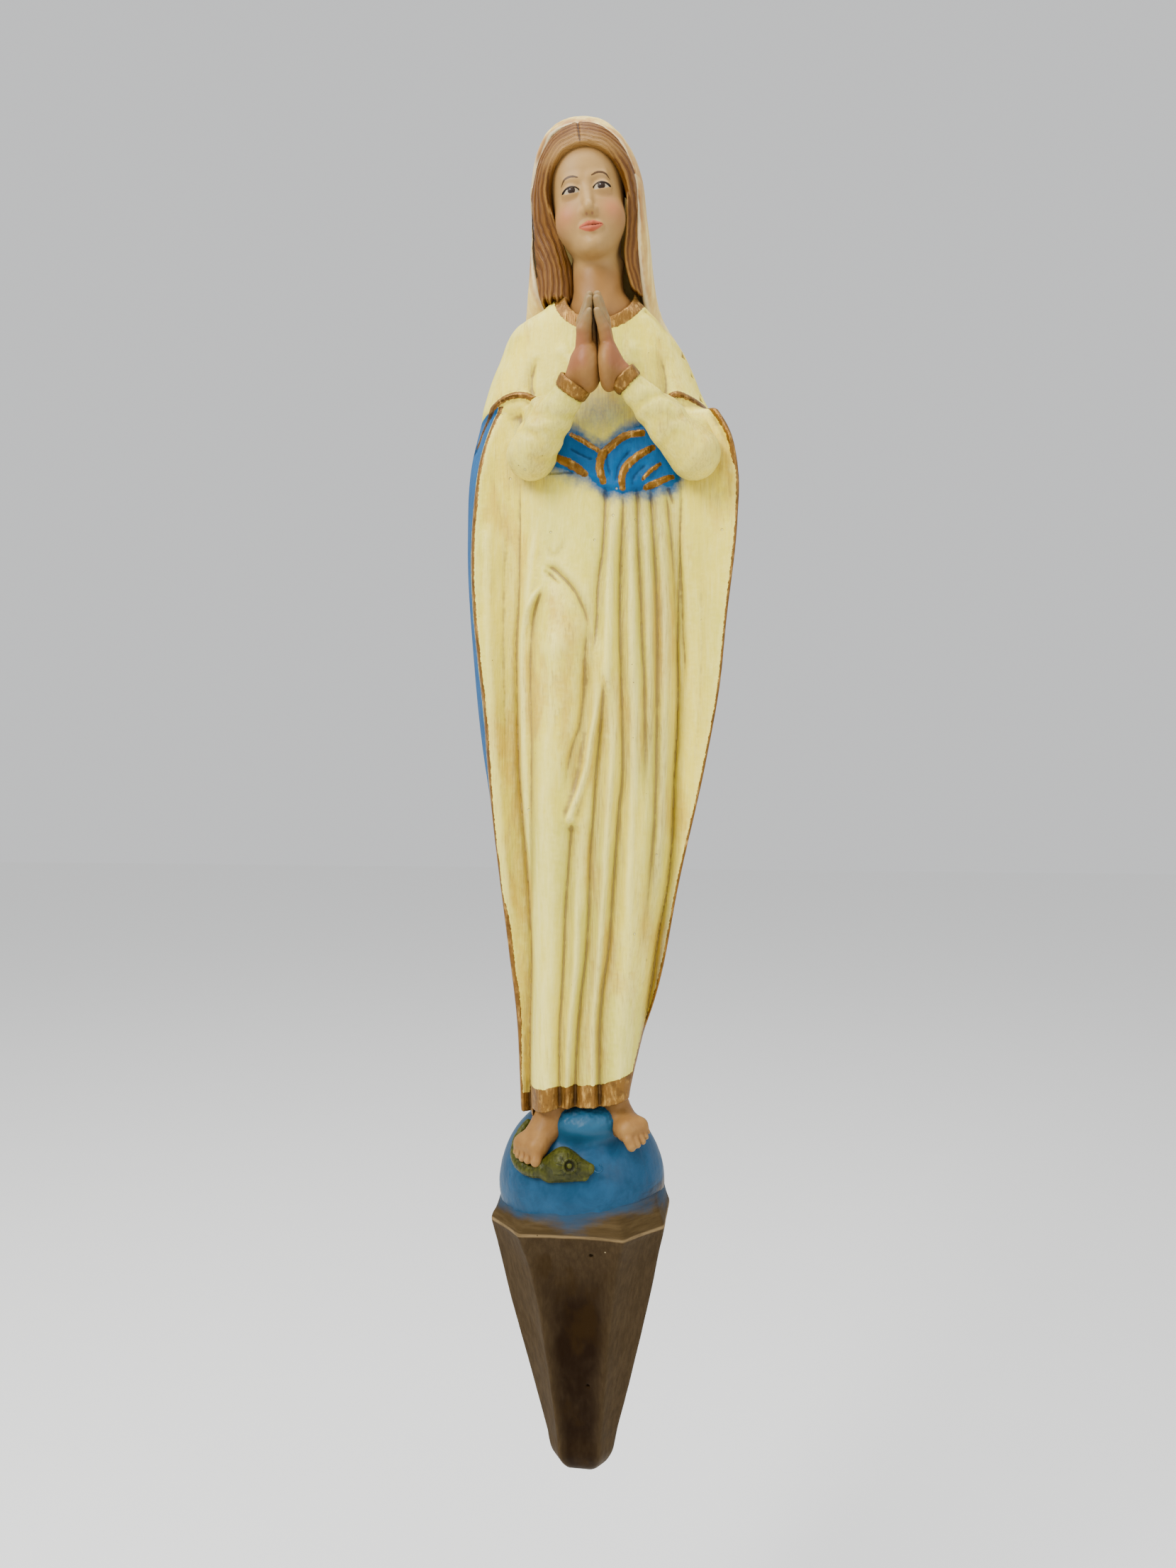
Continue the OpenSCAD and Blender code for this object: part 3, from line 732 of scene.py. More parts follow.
class Kit:
    """Small helpers that add nodes to one material."""

    def __init__(self, name):
        self.material, self.nodes, self.links, self.shader = shader_tree(name)
        self.place = self.nodes.new("ShaderNodeTexCoord").outputs["Object"]

    def put(self, value, socket):
        if isinstance(value, (int, float)):
            socket.default_value = value
        elif isinstance(value, tuple):
            socket.default_value = (*value, 1.0) if len(socket.default_value) == 4 else value
        else:
            self.links.new(value, socket)

    def maths(self, operation, a, b=0.0, clamp=False):
        node = self.nodes.new("ShaderNodeMath")
        node.operation = operation
        node.use_clamp = clamp
        self.put(a, node.inputs[0])
        self.put(b, node.inputs[1])
        return node.outputs[0]

    def span(self, value, low, high, to_low=0.0, to_high=1.0):
        node = self.nodes.new("ShaderNodeMapRange")
        node.interpolation_type = "SMOOTHSTEP"
        self.put(value, node.inputs["Value"])
        for key, number in zip(("From Min", "From Max", "To Min", "To Max"), (low, high, to_low, to_high)):
            node.inputs[key].default_value = number
        return node.outputs["Result"]

    def mix(self, factor, a, b, blend="MIX"):
        node = self.nodes.new("ShaderNodeMix")
        node.data_type = "RGBA"
        node.blend_type = blend
        self.put(factor, node.inputs["Factor"])
        self.put(a, node.inputs[6])
        self.put(b, node.inputs[7])
        return node.outputs[2]

    def attribute(self, name):
        node = self.nodes.new("ShaderNodeAttribute")
        node.attribute_name = name
        return node.outputs["Fac"]

    def scaled(self, x, y, z):
        node = self.nodes.new("ShaderNodeMapping")
        node.inputs["Scale"].default_value = (x, y, z)
        self.links.new(self.place, node.inputs["Vector"])
        return node.outputs["Vector"]

    def noise(self, size_mm, detail=4.0, rough=0.55, stretch=(1, 1, 1), warp=0.0):
        """Noise between 0 and 1 with features of about size_mm."""
        node = self.nodes.new("ShaderNodeTexNoise")
        k = 1000.0 / size_mm
        self.links.new(self.scaled(k / stretch[0], k / stretch[1], k / stretch[2]), node.inputs["Vector"])
        node.inputs["Scale"].default_value = 1.0
        node.inputs["Detail"].default_value = detail
        node.inputs["Roughness"].default_value = rough
        node.inputs["Distortion"].default_value = warp
        return node.outputs["Fac"]

    def spots(self, size_mm, low, high, randomness=1.0):
        """1 inside scattered round spots, 0 elsewhere."""
        node = self.nodes.new("ShaderNodeTexVoronoi")
        k = 1000.0 / size_mm
        self.links.new(self.scaled(k, k, k), node.inputs["Vector"])
        node.inputs["Scale"].default_value = 1.0
        node.inputs["Randomness"].default_value = randomness
        near = self.span(node.outputs["Distance"], low, high, 1.0, 0.0)
        split = self.nodes.new("ShaderNodeSeparateColor")
        self.links.new(node.outputs["Color"], split.inputs["Color"])
        return self.maths("MULTIPLY", near, self.span(split.outputs["Red"], 0.72, 0.80))

    def bump(self, height, distance_mm, strength=1.0, normal=None):
        node = self.nodes.new("ShaderNodeBump")
        node.inputs["Strength"].default_value = strength
        node.inputs["Distance"].default_value = distance_mm * MM
        self.put(height, node.inputs["Height"])
        if normal is not None:
            self.links.new(normal, node.inputs["Normal"])
        return node.outputs["Normal"]

    def finish(self, colour, roughness, normal, metallic=0.0, specular=0.5, coat=0.0, coat_rough=0.3):
        s = self.shader.inputs
        self.put(colour, s["Base Color"])
        self.put(roughness, s["Roughness"])
        self.put(metallic, s["Metallic"])
        self.links.new(normal, s["Normal"])
        self.put(specular, s["Specular IOR Level"])
        s["Coat Weight"].default_value = coat
        s["Coat Roughness"].default_value = coat_rough
        return self.material


CREAM = (0.80, 0.65, 0.050)
CREAM_LIGHT = (0.86, 0.76, 0.18)
CREAM_GREEN = (0.64, 0.57, 0.055)
OCHRE = (0.60, 0.385, 0.024)
TAN = (0.22, 0.135, 0.032)
GILT = (0.20, 0.092, 0.014)
GILT_DARK = (0.050, 0.022, 0.004)
GILT_BRIGHT = (0.62, 0.36, 0.085)
BLUE = (0.007, 0.070, 0.190)
BLUE_SHADE = (0.004, 0.028, 0.070)


def cloth_material():
    k = Kit("painted_plaster_cloth")
    cavity, wash, crest = k.attribute("cavity"), k.attribute("wash"), k.attribute("crest")
    gilt_mm, blue = k.attribute("gilt"), k.attribute("blue")
    streak = k.noise(2.0, 5, 0.66, (1, 1, 9), 0.3)
    fine_streak = k.noise(0.7, 4, 0.6, (1, 1, 16), 0.2)
    cloud = k.noise(34, 3, 0.55, (1, 1, 2.4))
    patch = k.noise(19, 4, 0.6, (1, 1, 3.0), 0.4)
    colour = k.mix(k.span(cloud, 0.35, 0.66), CREAM, CREAM_GREEN)
    colour = k.mix(k.span(streak, 0.45, 0.75, 0.0, 0.55), colour, CREAM_LIGHT)
    colour = k.mix(k.span(patch, 0.48, 0.68, 0.0, 0.80), colour, OCHRE)
    # painted highlight: lighter cream on ridges, and more on the crests of folds
    colour = k.mix(k.span(cavity, -0.10, 0.01, 0.42, 0.0), colour, CREAM_LIGHT)
    colour = k.mix(k.maths("MULTIPLY", crest, k.span(streak, 0.30, 0.60, 0.10, 0.50)), colour,
                   (0.92, 0.82, 0.24))
    # painted shade in the hollows, and the tan wash beside the folds, partly painted shade, broken up by
    # brush streaks
    hollow = k.span(cavity, 0.015, 0.20, 0.0, 0.85)
    stain_and_shade = k.maths("MULTIPLY", wash, k.span(streak, 0.22, 0.62, 0.55, 1.0))
    stain_and_shade = k.maths("MULTIPLY", stain_and_shade, k.span(fine_streak, 0.30, 0.60, 1.0, 0.62))
    tan = k.maths("MAXIMUM", hollow, k.maths("MULTIPLY", stain_and_shade, 0.95))
    colour = k.mix(tan, colour, TAN)
    colour = k.mix(k.span(fine_streak, 0.5, 0.8, 0.0, 0.20), colour, CREAM_LIGHT)
    worn = k.maths("MULTIPLY", k.span(fine_streak, 0.50, 0.30), k.span(patch, 0.40, 0.66, 0.15, 1.0))
    colour = k.mix(k.maths("MULTIPLY", worn, 0.60), colour, (0.38, 0.27, 0.060))
    # blue paint, brushed and sprayed
    blue_tone = k.mix(k.span(k.noise(6, 5, 0.6, (1, 1, 2)), 0.35, 0.7), BLUE, (0.010, 0.095, 0.25))
    # darker blue in hollows: painted shade
    blue_tone = k.mix(k.span(cavity, 0.0, 0.2, 0.0, 0.75), blue_tone, BLUE_SHADE)
    grain = k.noise(1.1, 3, 0.6)
    cover = k.span(k.maths("ADD", blue, k.maths("MULTIPLY", k.maths("SUBTRACT", grain, 0.5), 0.30)), 0.08,
                   0.92)
    colour = k.mix(cover, colour, blue_tone)
    # pale plaster at chips, dark pinholes
    chips = k.spots(9.0, 0.035, 0.075)
    pinholes = k.spots(5.2, 0.028, 0.05)
    colour = k.mix(k.maths("MULTIPLY", chips, 0.35), colour, (0.80, 0.72, 0.40))
    colour = k.mix(k.maths("MULTIPLY", pinholes, 0.85), colour, (0.12, 0.07, 0.03))
    # gilt with a ragged edge and brushed highlights
    ragged = k.maths("MULTIPLY", k.maths("SUBTRACT", k.noise(1.3, 4, 0.65, (1, 1, 1)), 0.5), 1.5)
    gilt = k.span(k.maths("ADD", gilt_mm, ragged), -0.12, 0.12)
    brushed = k.noise(1.8, 4, 0.60, (1, 1, 3))
    gold = k.mix(k.span(brushed, 0.48, 0.82), GILT, GILT_BRIGHT)
    # darker gold in hollows: painted shade
    gold = k.mix(k.span(cavity, -0.02, 0.14, 0.0, 0.85), gold, GILT_DARK)
    gold = k.mix(k.span(k.noise(5, 3, 0.6), 0.3, 0.55, 0.45, 0.0), gold, GILT_DARK)
    colour = k.mix(gilt, colour, gold)
    rough = k.span(streak, 0.3, 0.75, 0.40, 0.58)
    rough = k.maths("ADD", rough, k.maths("MULTIPLY", gilt, -0.06))
    height = k.maths("ADD", k.maths("MULTIPLY", streak, 0.55), k.maths("MULTIPLY", fine_streak, 0.30))
    height = k.maths("ADD", height, k.maths("MULTIPLY", grain, 0.25))
    height = k.maths("SUBTRACT", height, k.maths("MULTIPLY", k.maths("MAXIMUM", chips, pinholes), 1.6))
    height = k.maths("ADD", height, k.maths("MULTIPLY", k.maths("MULTIPLY", gilt, brushed), 0.6))
    normal = k.bump(height, 0.48, 0.85)
    shine = k.maths("MULTIPLY_ADD", cover, -0.22)
    shine.node.inputs[2].default_value = 0.28
    return k.finish(colour, rough, normal, k.maths("MULTIPLY", gilt, 0.55), shine, 0.0, 0.4)


# ---------------------------------------------------------------- camera, light and floor

def stage():
    angle = math.radians(8)
    away = np.array([math.sin(angle), -math.cos(angle)])
    side = np.array([math.cos(angle), math.sin(angle)])
    spot = np.array([0.0, -0.030]) + 0.4935 * away + 0.0034 * side
    camera = bpy.data.cameras.new("camera")
    camera.sensor_fit = "VERTICAL"
    camera.sensor_height = 36.0
    camera.lens = 26.0
    camera.clip_start = 0.01
    holder = bpy.data.objects.new("camera", camera)
    holder.location = (spot[0], spot[1], 0.190)
    holder.rotation_euler = (math.radians(90), 0, angle)
    bpy.context.scene.collection.objects.link(holder)
    bpy.context.scene.camera = holder

    def area(name, at, target, size, power, colour=(1, 1, 1)):
        lamp = bpy.data.lights.new(name, "AREA")
        lamp.shape = "RECTANGLE"
        lamp.size, lamp.size_y = size
        lamp.energy = power
        lamp.color = colour
        holder = bpy.data.objects.new(name, lamp)
        holder.location = at
        way = np.array(target, float) - np.array(at, float)
        pitch = math.atan2(np.hypot(way[0], way[1]), -way[2])
        holder.rotation_euler = (pitch, 0, math.atan2(way[1], way[0]) - math.pi / 2)
        bpy.context.scene.collection.objects.link(holder)

    area("key", (-0.75, -1.0, 1.15), (0, 0, 0.22), (0.7, 0.7), 36.0, (1.0, 0.99, 0.965))
    area("fill", (1.15, -0.75, 0.6), (0, 0, 0.24), (0.7, 0.9), 9.0, (0.98, 0.99, 1.0))
    area("top", (0.0, -0.25, 1.35), (0, -0.03, 0.25), (0.8, 0.5), 14.0)
    world = bpy.data.worlds.new("studio")
    world.use_nodes = True
    world.node_tree.nodes["Background"].inputs["Color"].default_value = (0.93, 0.94, 0.95, 1)
    world.node_tree.nodes["Background"].inputs["Strength"].default_value = 0.85
    bpy.context.scene.world = world

    mesh = bpy.data.meshes.new("floor")
    s, level = 6.0, -0.30
    mesh.from_pydata([(-s, -s, level), (s, -s, level), (s, s, level), (-s, s, level)], [], [(0, 1, 2, 3)])
    floor = bpy.data.objects.new("floor", mesh)
    k = Kit("floor_paper")
    colour = k.mix(k.noise(60, 3), (0.935, 0.935, 0.925), (0.955, 0.955, 0.945))
    mesh.materials.append(k.finish(colour, 0.75, k.bump(k.noise(2, 2), 0.05, 0.1)))
    bpy.context.scene.collection.objects.link(floor)


# ---------------------------------------------------------------- console and globe

# Console's profile: rows of (z, half width, depth, half width of the front facet, depth of the sides).
CONSOLE = [(-122, 3.0, 8, 2, 5), (-119.3, 7.0, 12.5, 5, 8), (-116, 10.2, 17, 6.4, 11),
           (-111, 13.2, 20.8, 8.2, 13.6),
           (-100, 15.8, 24.0, 9.2, 15.6), (-60, 25.2, 33.6, 12.8, 22.5), (-30, 32.0, 40.6, 16.0, 27.5),
           (-12, 35.6, 45.6, 19.2, 30.0), (-4, 37.4, 48.6, 21.4, 31.6), (0, 38.0, 50.0, 22.2, 32.0),
           (3.5, 36.6, 48.6, 21.0, 30.6), (8, 34.4, 46.2, 19.0, 28.4), (14, 31, 42, 17, 26)]


def console_body(p):
    x, y, z = p
    x = x - BASE_X + 0.6 * ease(-60, -119, z)
    out = -y
    wide, deep, facet, side = (track(CONSOLE, z, k) for k in (1, 2, 3, 4))
    ax = np.abs(x)
    scoop = 2.6 * ease(-118, -95, z) * (1 - 0.25 * ease(-40, 0, z)) * ease(3, -1, z)
    hollow = scoop * np.clip(1 - (x / (facet + 0.5)) ** 2, 0, 1) * (1 + 0.25 * np.clip(x / facet, -1, 1))
    front = out - deep + hollow
    run, rise = wide - facet, deep - side
    length = np.hypot(run, rise)
    along = np.clip(((ax - facet) * run - (out - deep) * rise) / length ** 2, 0, 1)
    dish = 0.9 * ease(-110, -80, z) * ease(2, -4, z) * 4 * along * (1 - along)
    corner = (ax - facet) * rise / length + (out - deep) * run / length + dish
    d = common(front, corner, 0.9 + 1.3 * ease(-6, 6, x) * ease(-2, -14, z))
    d = common(d, ax - wide, 0.9)
    d = d * 0.96
    d = common(d, z - 13.5, 0.6)
    d = common(d, -119.2 - z, 2.2)
    d = np.maximum(d, y)
    return d + 0.10 * waves((x, y, z * 0.4), 11.0, 31) + 0.04 * waves(p, 2.4, 32)


def build_console(materials):
    at = GLOBE_AT

    def console(p):
        x, y, z = p
        body = console_body(p)
        body = common(body, z - 6.2 - 0.10 * (x - BASE_X) - 0.8 * waves(p, 30, 33), 1.0)
        d = joined(body, np.maximum(ball(p, at, GLOBE_R - 0.35), z - 11.0), 5.0)
        for centre, r in (((-7, -31.5, -50), 0.9), ((3.2, -27.5, -73), 0.8), ((6.8, -44, -9), 1.0)):
            d = carved(d, ball(p, centre, r), 0.5)
        return np.maximum(d, y)
    shape = grown(console, (-42, -54, -123), (42, 1, 16), 0.55)
    x, y, z = shape[0].T
    make_piece("console_cast", shape, materials["console"], ["console"], "console_paint", 0.55, 1.8,
               near=ball((x, y, z), GLOBE_AT, GLOBE_R), rim=np.abs(z + 0.3), front=front_facet(x, y, z))

    def globe(p):
        x, y, z = p
        d = ball(p, at, GLOBE_R) + 0.22 * waves(p, 21.0, 41) + 0.05 * waves(p, 3.0, 42)
        ragged = ease(42, 48, z) * (0.8 * waves(p, 6.0, 43) + 0.35 * waves(p, 2.2, 44))
        lump = egg(p, (2.6, -28.0, 43.5), (15.8, 15.8, 8.6)) + 0.6 * ragged
        d = joined(d, lump, 6.0)
        line, t = along_path(p, [(8, -46.4, 27.5), (10.5, -46.8, 26.8), (12.0, -46.3, 28.4),
                                 (10.6, -46.0, 30.0)])
        d = joined(d, line - 0.45, 1.0)
        d = common(d, 2.05 - z, 0.3)
        d = np.maximum(d, z - 51.5)
        return np.maximum(d, y)
    shape = grown(globe, (-40, -52, 1), (40, 1, 54), 0.5)
    x, y, z = shape[0].T
    lump = egg((x, y, z), (3.0, -30.0, 43.5), (18, 17, 9))
    border = track([(-40, 2), (-32, 2.5), (-19, 2.5), (-11, 3), (0, 5), (12, 7.5), (25, 10), (35, 15),
                    (40, 17)], x)
    make_piece("globe_cast", shape, materials["globe"], ["globe"], "globe_paint", 0.5, 1.6,
               above=z - border, lump=-lump)


def front_facet(x, y, z):
    """1 in the middle of the console's front facet, falling to 0 at its edges."""
    facet = track(CONSOLE, z, 3)
    x = x - BASE_X
    return np.clip(1.15 - (np.abs(x) / facet) ** 3, 0, 1) * ease(-10, -14, y) * ease(4, -6, z)


# ---------------------------------------------------------------- serpent and feet

def on_globe(turn, up, lift):
    a, b, r = math.radians(turn), math.radians(up), GLOBE_R + lift
    return (GLOBE_AT[0] + r * math.sin(a) * math.cos(b), GLOBE_AT[1] - r * math.cos(a) * math.cos(b),
            GLOBE_AT[2] + r * math.sin(b))


SERPENT = [(-58, 47, 1.7), (-56, 40, 2.1), (-51.5, 32, 2.6), (-44, 25.0, 3.0), (-35, 21.2, 3.1),
           (-26, 20.2, 3.0),
           (-19, 22.0, 3.2)]
SNOUT = on_globe(13.0, 24.0, 1.9)


def build_serpent(materials):
    line = [on_globe(t, u, 0.55 * r) for t, u, r in SERPENT]
    radii = [(k / (len(SERPENT) - 1), r) for k, (_, _, r) in enumerate(SERPENT)]
    skull, eye = on_globe(-5.0, 26.8, 1.6), on_globe(1.2, 24.6, 7.4)

    def serpent(p):
        dist, t = along_path(p, line)
        body = dist - track(radii, t) + 0.16 * waves(p, 2.2, 51)
        crown = joined(limb(p, on_globe(-18, 23.5, 1.0), skull, 3.8, 6.2), limb(p, skull, SNOUT, 6.2, 2.5),
                       3.0)
        under = limb(p, on_globe(-14, 19.8, 0.8), on_globe(10.0, 19.6, 0.9), 3.6, 1.9)
        d = joined(crown, under, 1.6)
        mouth, _ = along_path(p, [on_globe(a, b, 6.3) for a,
                                  b in ((-9, 17.2), (-4, 17.4), (2, 18.0), (8, 19.2), (13.5, 21.2))])
        d = carved(d, mouth - 1.9, 0.6)
        from_eye = ball(p, eye, 0.0)
        d = (d - 0.75 * np.exp(-((from_eye - 2.8) / 0.6) ** 2)
             + 0.75 * np.exp(-((from_eye - 1.75) / 0.45) ** 2))
        d = d - 0.55 * np.exp(-(from_eye / 0.95) ** 2)
        d = joined(d, body, 2.6)
        d = d + 0.10 * waves(p, 1.7, 52)
        return np.maximum(d, GLOBE_R - 0.6 - np.sqrt(sum((a - b) ** 2 for a, b in zip(p, GLOBE_AT))))
    shape = grown(serpent, (-40, -58, 18), (16, -16, 54), 0.4)
    p = tuple(shape[0].T)
    spokes = np.arctan2(p[2] - eye[2], p[0] - eye[0])
    near_eye = ball(p, eye, 0.0)
    make_piece("serpent_cast", shape, materials["serpent"], ["serpent"], "serpent_paint", 0.4, 1.2,
               eye=near_eye, spokes=np.sin(spokes * 11) * ease(8.5, 4.5, near_eye) * ease(1.4, 2.2,
                                                                                          near_eye))


def foot_field(p, heel, ankle, ball_in, ball_out, toes, r_toe):
    d = joined(limb(p, ankle, heel, 6.8, 6.9), limb(p, heel, ball_in, 6.5, 4.4), 4)
    d = joined(d, limb(p, heel, ball_out, 5.6, 3.6), 4)
    d = joined(d, limb(p, ball_in, ball_out, 4.2, 3.5), 3)
    line = np.full(p[0].shape, 99.0)
    for k, (root, tip) in enumerate(toes):
        r = r_toe * (1.25 if k == 0 else 0.92 - 0.06 * k)
        toe = limb(p, root, tip, r, r * 0.85)
        d = joined(d, toe, 0.9)
        if k:
            last_root, last_tip = toes[k - 1]
            a = tuple((i + j) / 2 for i, j in zip(root, last_root))
            b = tuple((i + j) / 2 for i, j in zip(tip, last_tip))
            line = np.minimum(line, limb(p, a, b, 0.0, 0.0))
    return d + 0.08 * waves(p, 4.0, 61), line


FEET = {
    "foot_right": dict(heel=(-12.6, -32.5, 43), ankle=(-11.4, -33.0, 54), ball_in=(-17.0, -42.5, 35.0),
                       ball_out=(-23.6, -38.5, 35.0), r_toe=2.25,
                       toes=[((-16.3, -44.6, 33.6), (-16.6, -46.6, 30.3)),
                             ((-19.6, -43.6, 33.2), (-20.3, -45.4, 30.2)),
                             ((-22.2, -42.2, 33.0), (-23.0, -43.8, 30.4)),
                             ((-24.2, -40.6, 33.2), (-25.2, -42.0, 31.0)),
                             ((-25.6, -38.6, 33.8), (-26.6, -39.8, 31.8))]),
    "foot_left": dict(heel=(15.5, -27, 44), ankle=(14.5, -27.5, 50), ball_in=(21.6, -38.6, 42.5),
                      ball_out=(26.0, -35.6, 43.6), r_toe=1.95,
                      toes=[((22.4, -42.2, 39.7), (23.8, -43.4, 37.2)),
                            ((25.0, -41.0, 40.0), (26.2, -42.0, 37.7)),
                            ((27.0, -39.2, 40.5), (28.3, -40.0, 38.6)),
                            ((28.2, -37.2, 41.4), (29.4, -37.8, 39.9)),
                            ((28.8, -35.0, 42.7), (29.9, -35.4, 41.4))]),
}


def build_feet(materials):
    for name, facts in FEET.items():

        def foot(p):
            d, _ = foot_field(p, **facts)
            d = np.maximum(d, GLOBE_R - 0.8 - np.sqrt(sum((a - b) ** 2 for a, b in zip(p, GLOBE_AT))))
            return np.maximum(d, p[2] - (facts["ankle"][2] + 3))
        low = (-32, -52, 26) if name == "foot_right" else (6, -50, 33)
        high = (-3, -18, 60) if name == "foot_right" else (36, -18, 64)
        shape = grown(foot, low, high, 0.4)
        _, line = foot_field(tuple(shape[0].T), **facts)
        depth = np.sqrt(((shape[0] - np.array(GLOBE_AT)) ** 2).sum(1)) - GLOBE_R
        rosy = np.zeros(len(line))
        make_piece(name + "_cast", shape, materials["flesh"], [name], "flesh_paint", 0.4, 1.2,
                   lines=line, rosy=rosy, grey=rosy, shade=ease(3.0, -0.5, depth))


# ---------------------------------------------------------------- sleeves and hands

def unit(v):
    v = np.array(v, float)
    return v / np.linalg.norm(v)


def build_arms(materials):
    for sign, side in ((-1, "right"), (1, "left")):
        elbow, wrist = np.array(ELBOW[sign]), np.array(WRIST[sign])
        way = unit(wrist - elbow)
        cuff_r = 6.7 if sign < 0 else 5.9
        upper = (-12.5, -49.0, 345.0) if sign < 0 else (38.5, -49.5, 343.0)
        back = (-19.0, -38.0, 339.5) if sign < 0 else (50.0, -38.0, 337.5)
        ends = (-2.4, 2.9)

        def run(p):
            return sum((q - w) * d for q, w, d in zip(p, wrist, way))

        def sleeve(p):
            s = run(p)
            arm = limb(p, elbow, wrist, 9.9 if sign < 0 else 10.4, cuff_r - 0.6)
            arm = joined(arm, ball(p, upper, 7.9 if sign < 0 else 7.4), 6.0)
            arm = joined(arm, limb(p, elbow + np.array([0, 6, 2.0]), back, 8.6, 8.0), 6.0)
            lean = sum(q * d for q, d in zip(p, unit((way[2], 0.35, -way[0]))))
            folds = np.sin(s * 0.62 + lean * 0.36 * sign + 1.2 * waves(p, 15.0, 71 + sign))
            swell = ease(-34, -24, s) * ease(-3, -9, s)
            arm = arm - 0.32 * swell * folds - 0.10 * waves(p, 5.0, 73) - 0.035 * waves(p, 1.6, 74)
            axis = np.sqrt(sum((q - w - s * d) ** 2 for q, w, d in zip(p, wrist, way)))
            flare = cuff_r + 0.25 + 0.30 * ease(ends[0], ends[1], s) + 0.15 * waves(p, 6.0, 75)
            band = common(axis - flare, np.abs(s - sum(ends) / 2) - (ends[1] - ends[0]) / 2, 0.9)
            groove = np.hypot(s - ends[0] + 0.4, axis - cuff_r - 0.2) - 0.55
            arm = common(arm, s - ends[0] - 0.6, 0.8)
            d = joined(arm, band, 0.5)
            d = carved(d, groove, 0.5)
            mouth = common(axis - cuff_r + 1.1, ends[1] - 2.6 - s, 0.3)
            d = carved(d, mouth, 0.4)
            return np.maximum(d, p[1] + 40.5)
        low = (min(elbow[0], wrist[0]) - 13, -70, 311)
        high = (max(elbow[0], wrist[0]) + 13, -39, 364)
        shape = grown(sleeve, low, high, 0.45)
        s = run(tuple(shape[0].T))
        gilt = np.minimum(s - ends[0] + 0.1, 9.0)
        inside = np.sqrt(((shape[0] - wrist - np.outer(s, way)) ** 2).sum(1)) < cuff_r - 0.8
        gilt = np.where(inside & (s > ends[1] - 3.0), 0.6, gilt)
        make_piece("sleeve_%s_cast" % side, shape, materials["cloth"], ["sleeve_" + side], "gown_paint",
                   0.45, 1.6,
                   gilt=gilt, blue=np.zeros(len(s)),
                   crest=0.5 * ease(0.0, 0.9, waves(tuple(shape[0].T), 9.0, 77)),
                   wash=0.26 + 0.30 * ease(-0.2, 0.8, waves(tuple(shape[0].T), 14.0, 76)))
        build_hand(materials, sign, side, wrist, way)


def palm_plane(z):
    """Where the two palms meet, seen from the front."""
    return 13.3 - 0.072 * (z - 352)


def build_hand(materials, sign, side, wrist, way):
    thick = 1.22 if sign < 0 else 0.95
    tips = ((-72.6, -66.2, 377.6), (-70.4, -65.0, 383.6), (-67.0, -63.6, 386.6), (-63.6, -62.0, 384.6))

    def place(off, y, z):
        return (palm_plane(z) + sign * off, y, z)

    def fingers(p, k):
        y_tip, y_root, z_tip = tips[k]
        root = place(4.6 * thick, y_root, 364.0)
        middle = place(3.7 * thick, 0.45 * y_root + 0.55 * y_tip, 0.42 * 364 + 0.58 * z_tip)
        tip = place(1.55, y_tip, z_tip)
        r = 2.9 * thick if k < 3 else 2.6 * thick
        return joined(limb(p, root, middle, r, r * 0.86), limb(p, middle, tip, r * 0.86, 1.7), 0.5)

    def hand(p):
        d = limb(p, wrist + 0.5 * way, place(4.9 * thick, -63.5, 360), 4.9, 5.0 * thick)
        d = joined(d, egg(p, place(3.9 * thick, -63.8, 359.5), (4.9 * thick, 8.2, 10.8)), 3.0)
        d = joined(d, egg(p, place(1.2, -61.5, 368.0), (3.6, 5.0, 12.5)), 1.0)
        for k in range(4):
            d = joined(d, fingers(p, k), 0.55)
        thumb = joined(limb(p, place(4.6, -58.5, 357), place(3.2, -57.6, 367), 3.2, 2.5),
                       limb(p, place(3.2, -57.6, 367), place(2.4, -58.6, 373.5), 2.5, 1.9), 0.6)
        d = joined(d, thumb, 0.9)
        d = d + 0.07 * waves(p, 3.6, 81)
        meet = sign * (palm_plane(p[2]) - p[0]) + 0.06
        d = common(d, meet, 0.9 - 0.6 * ease(376, 381, p[2]) - 0.6 * ease(368, 362, p[2]))
        return d
    shape = grown(hand, (palm_plane(375) - 16, -76, 346), (palm_plane(355) + 16, -52, 390), 0.36)
    x, y, z = shape[0].T
    gap = np.abs(x - palm_plane(z))
    lines = np.where((z > 350) & (z < 379), gap + 0.25 + 0.85 * ease(369, 363, z), 9.0)
    for k in range(3):
        both = [fingers((x, y, z), n) for n in (k, k + 1)]
        lines = np.minimum(lines, np.abs(both[0] - both[1]) * 0.8 + 0.9 + 2.2 * ease(0.1, 0.8,
                                                                                     np.maximum(*both)))
    rosy = ease(379, 366, z) * ease(353, 359, z) * ease(1.5, 6.0, sign * (x - palm_plane(z))) * 0.8
    make_piece("hand_%s_cast" % side, shape, materials["flesh"], ["hand_" + side], "flesh_paint", 0.36, 1.1,
               lines=lines, rosy=rosy, grey=ease(368, 378, z) * 0.85, shade=ease(358, 352, z) * 0.6)


# ---------------------------------------------------------------- head, hair and veil

def head_frame(p):
    """Coordinates in the upright head: x across, y back, z up, chin at 411.5 and crown at 465.5."""
    a, b = HEAD_LEAN, HEAD_TURN
    x, y, z = (q - o for q, o in zip(p, HEAD_PIVOT))
    x, z = x * math.cos(a) + z * math.sin(a), z * math.cos(a) - x * math.sin(a)
    x, y = x * math.cos(b) + (y + 3) * math.sin(b), (y + 3) * math.cos(b) - x * math.sin(b) - 3
    return x, y + 3.0, z + 411.0


EYE = (6.3, -14.6, 437.0)


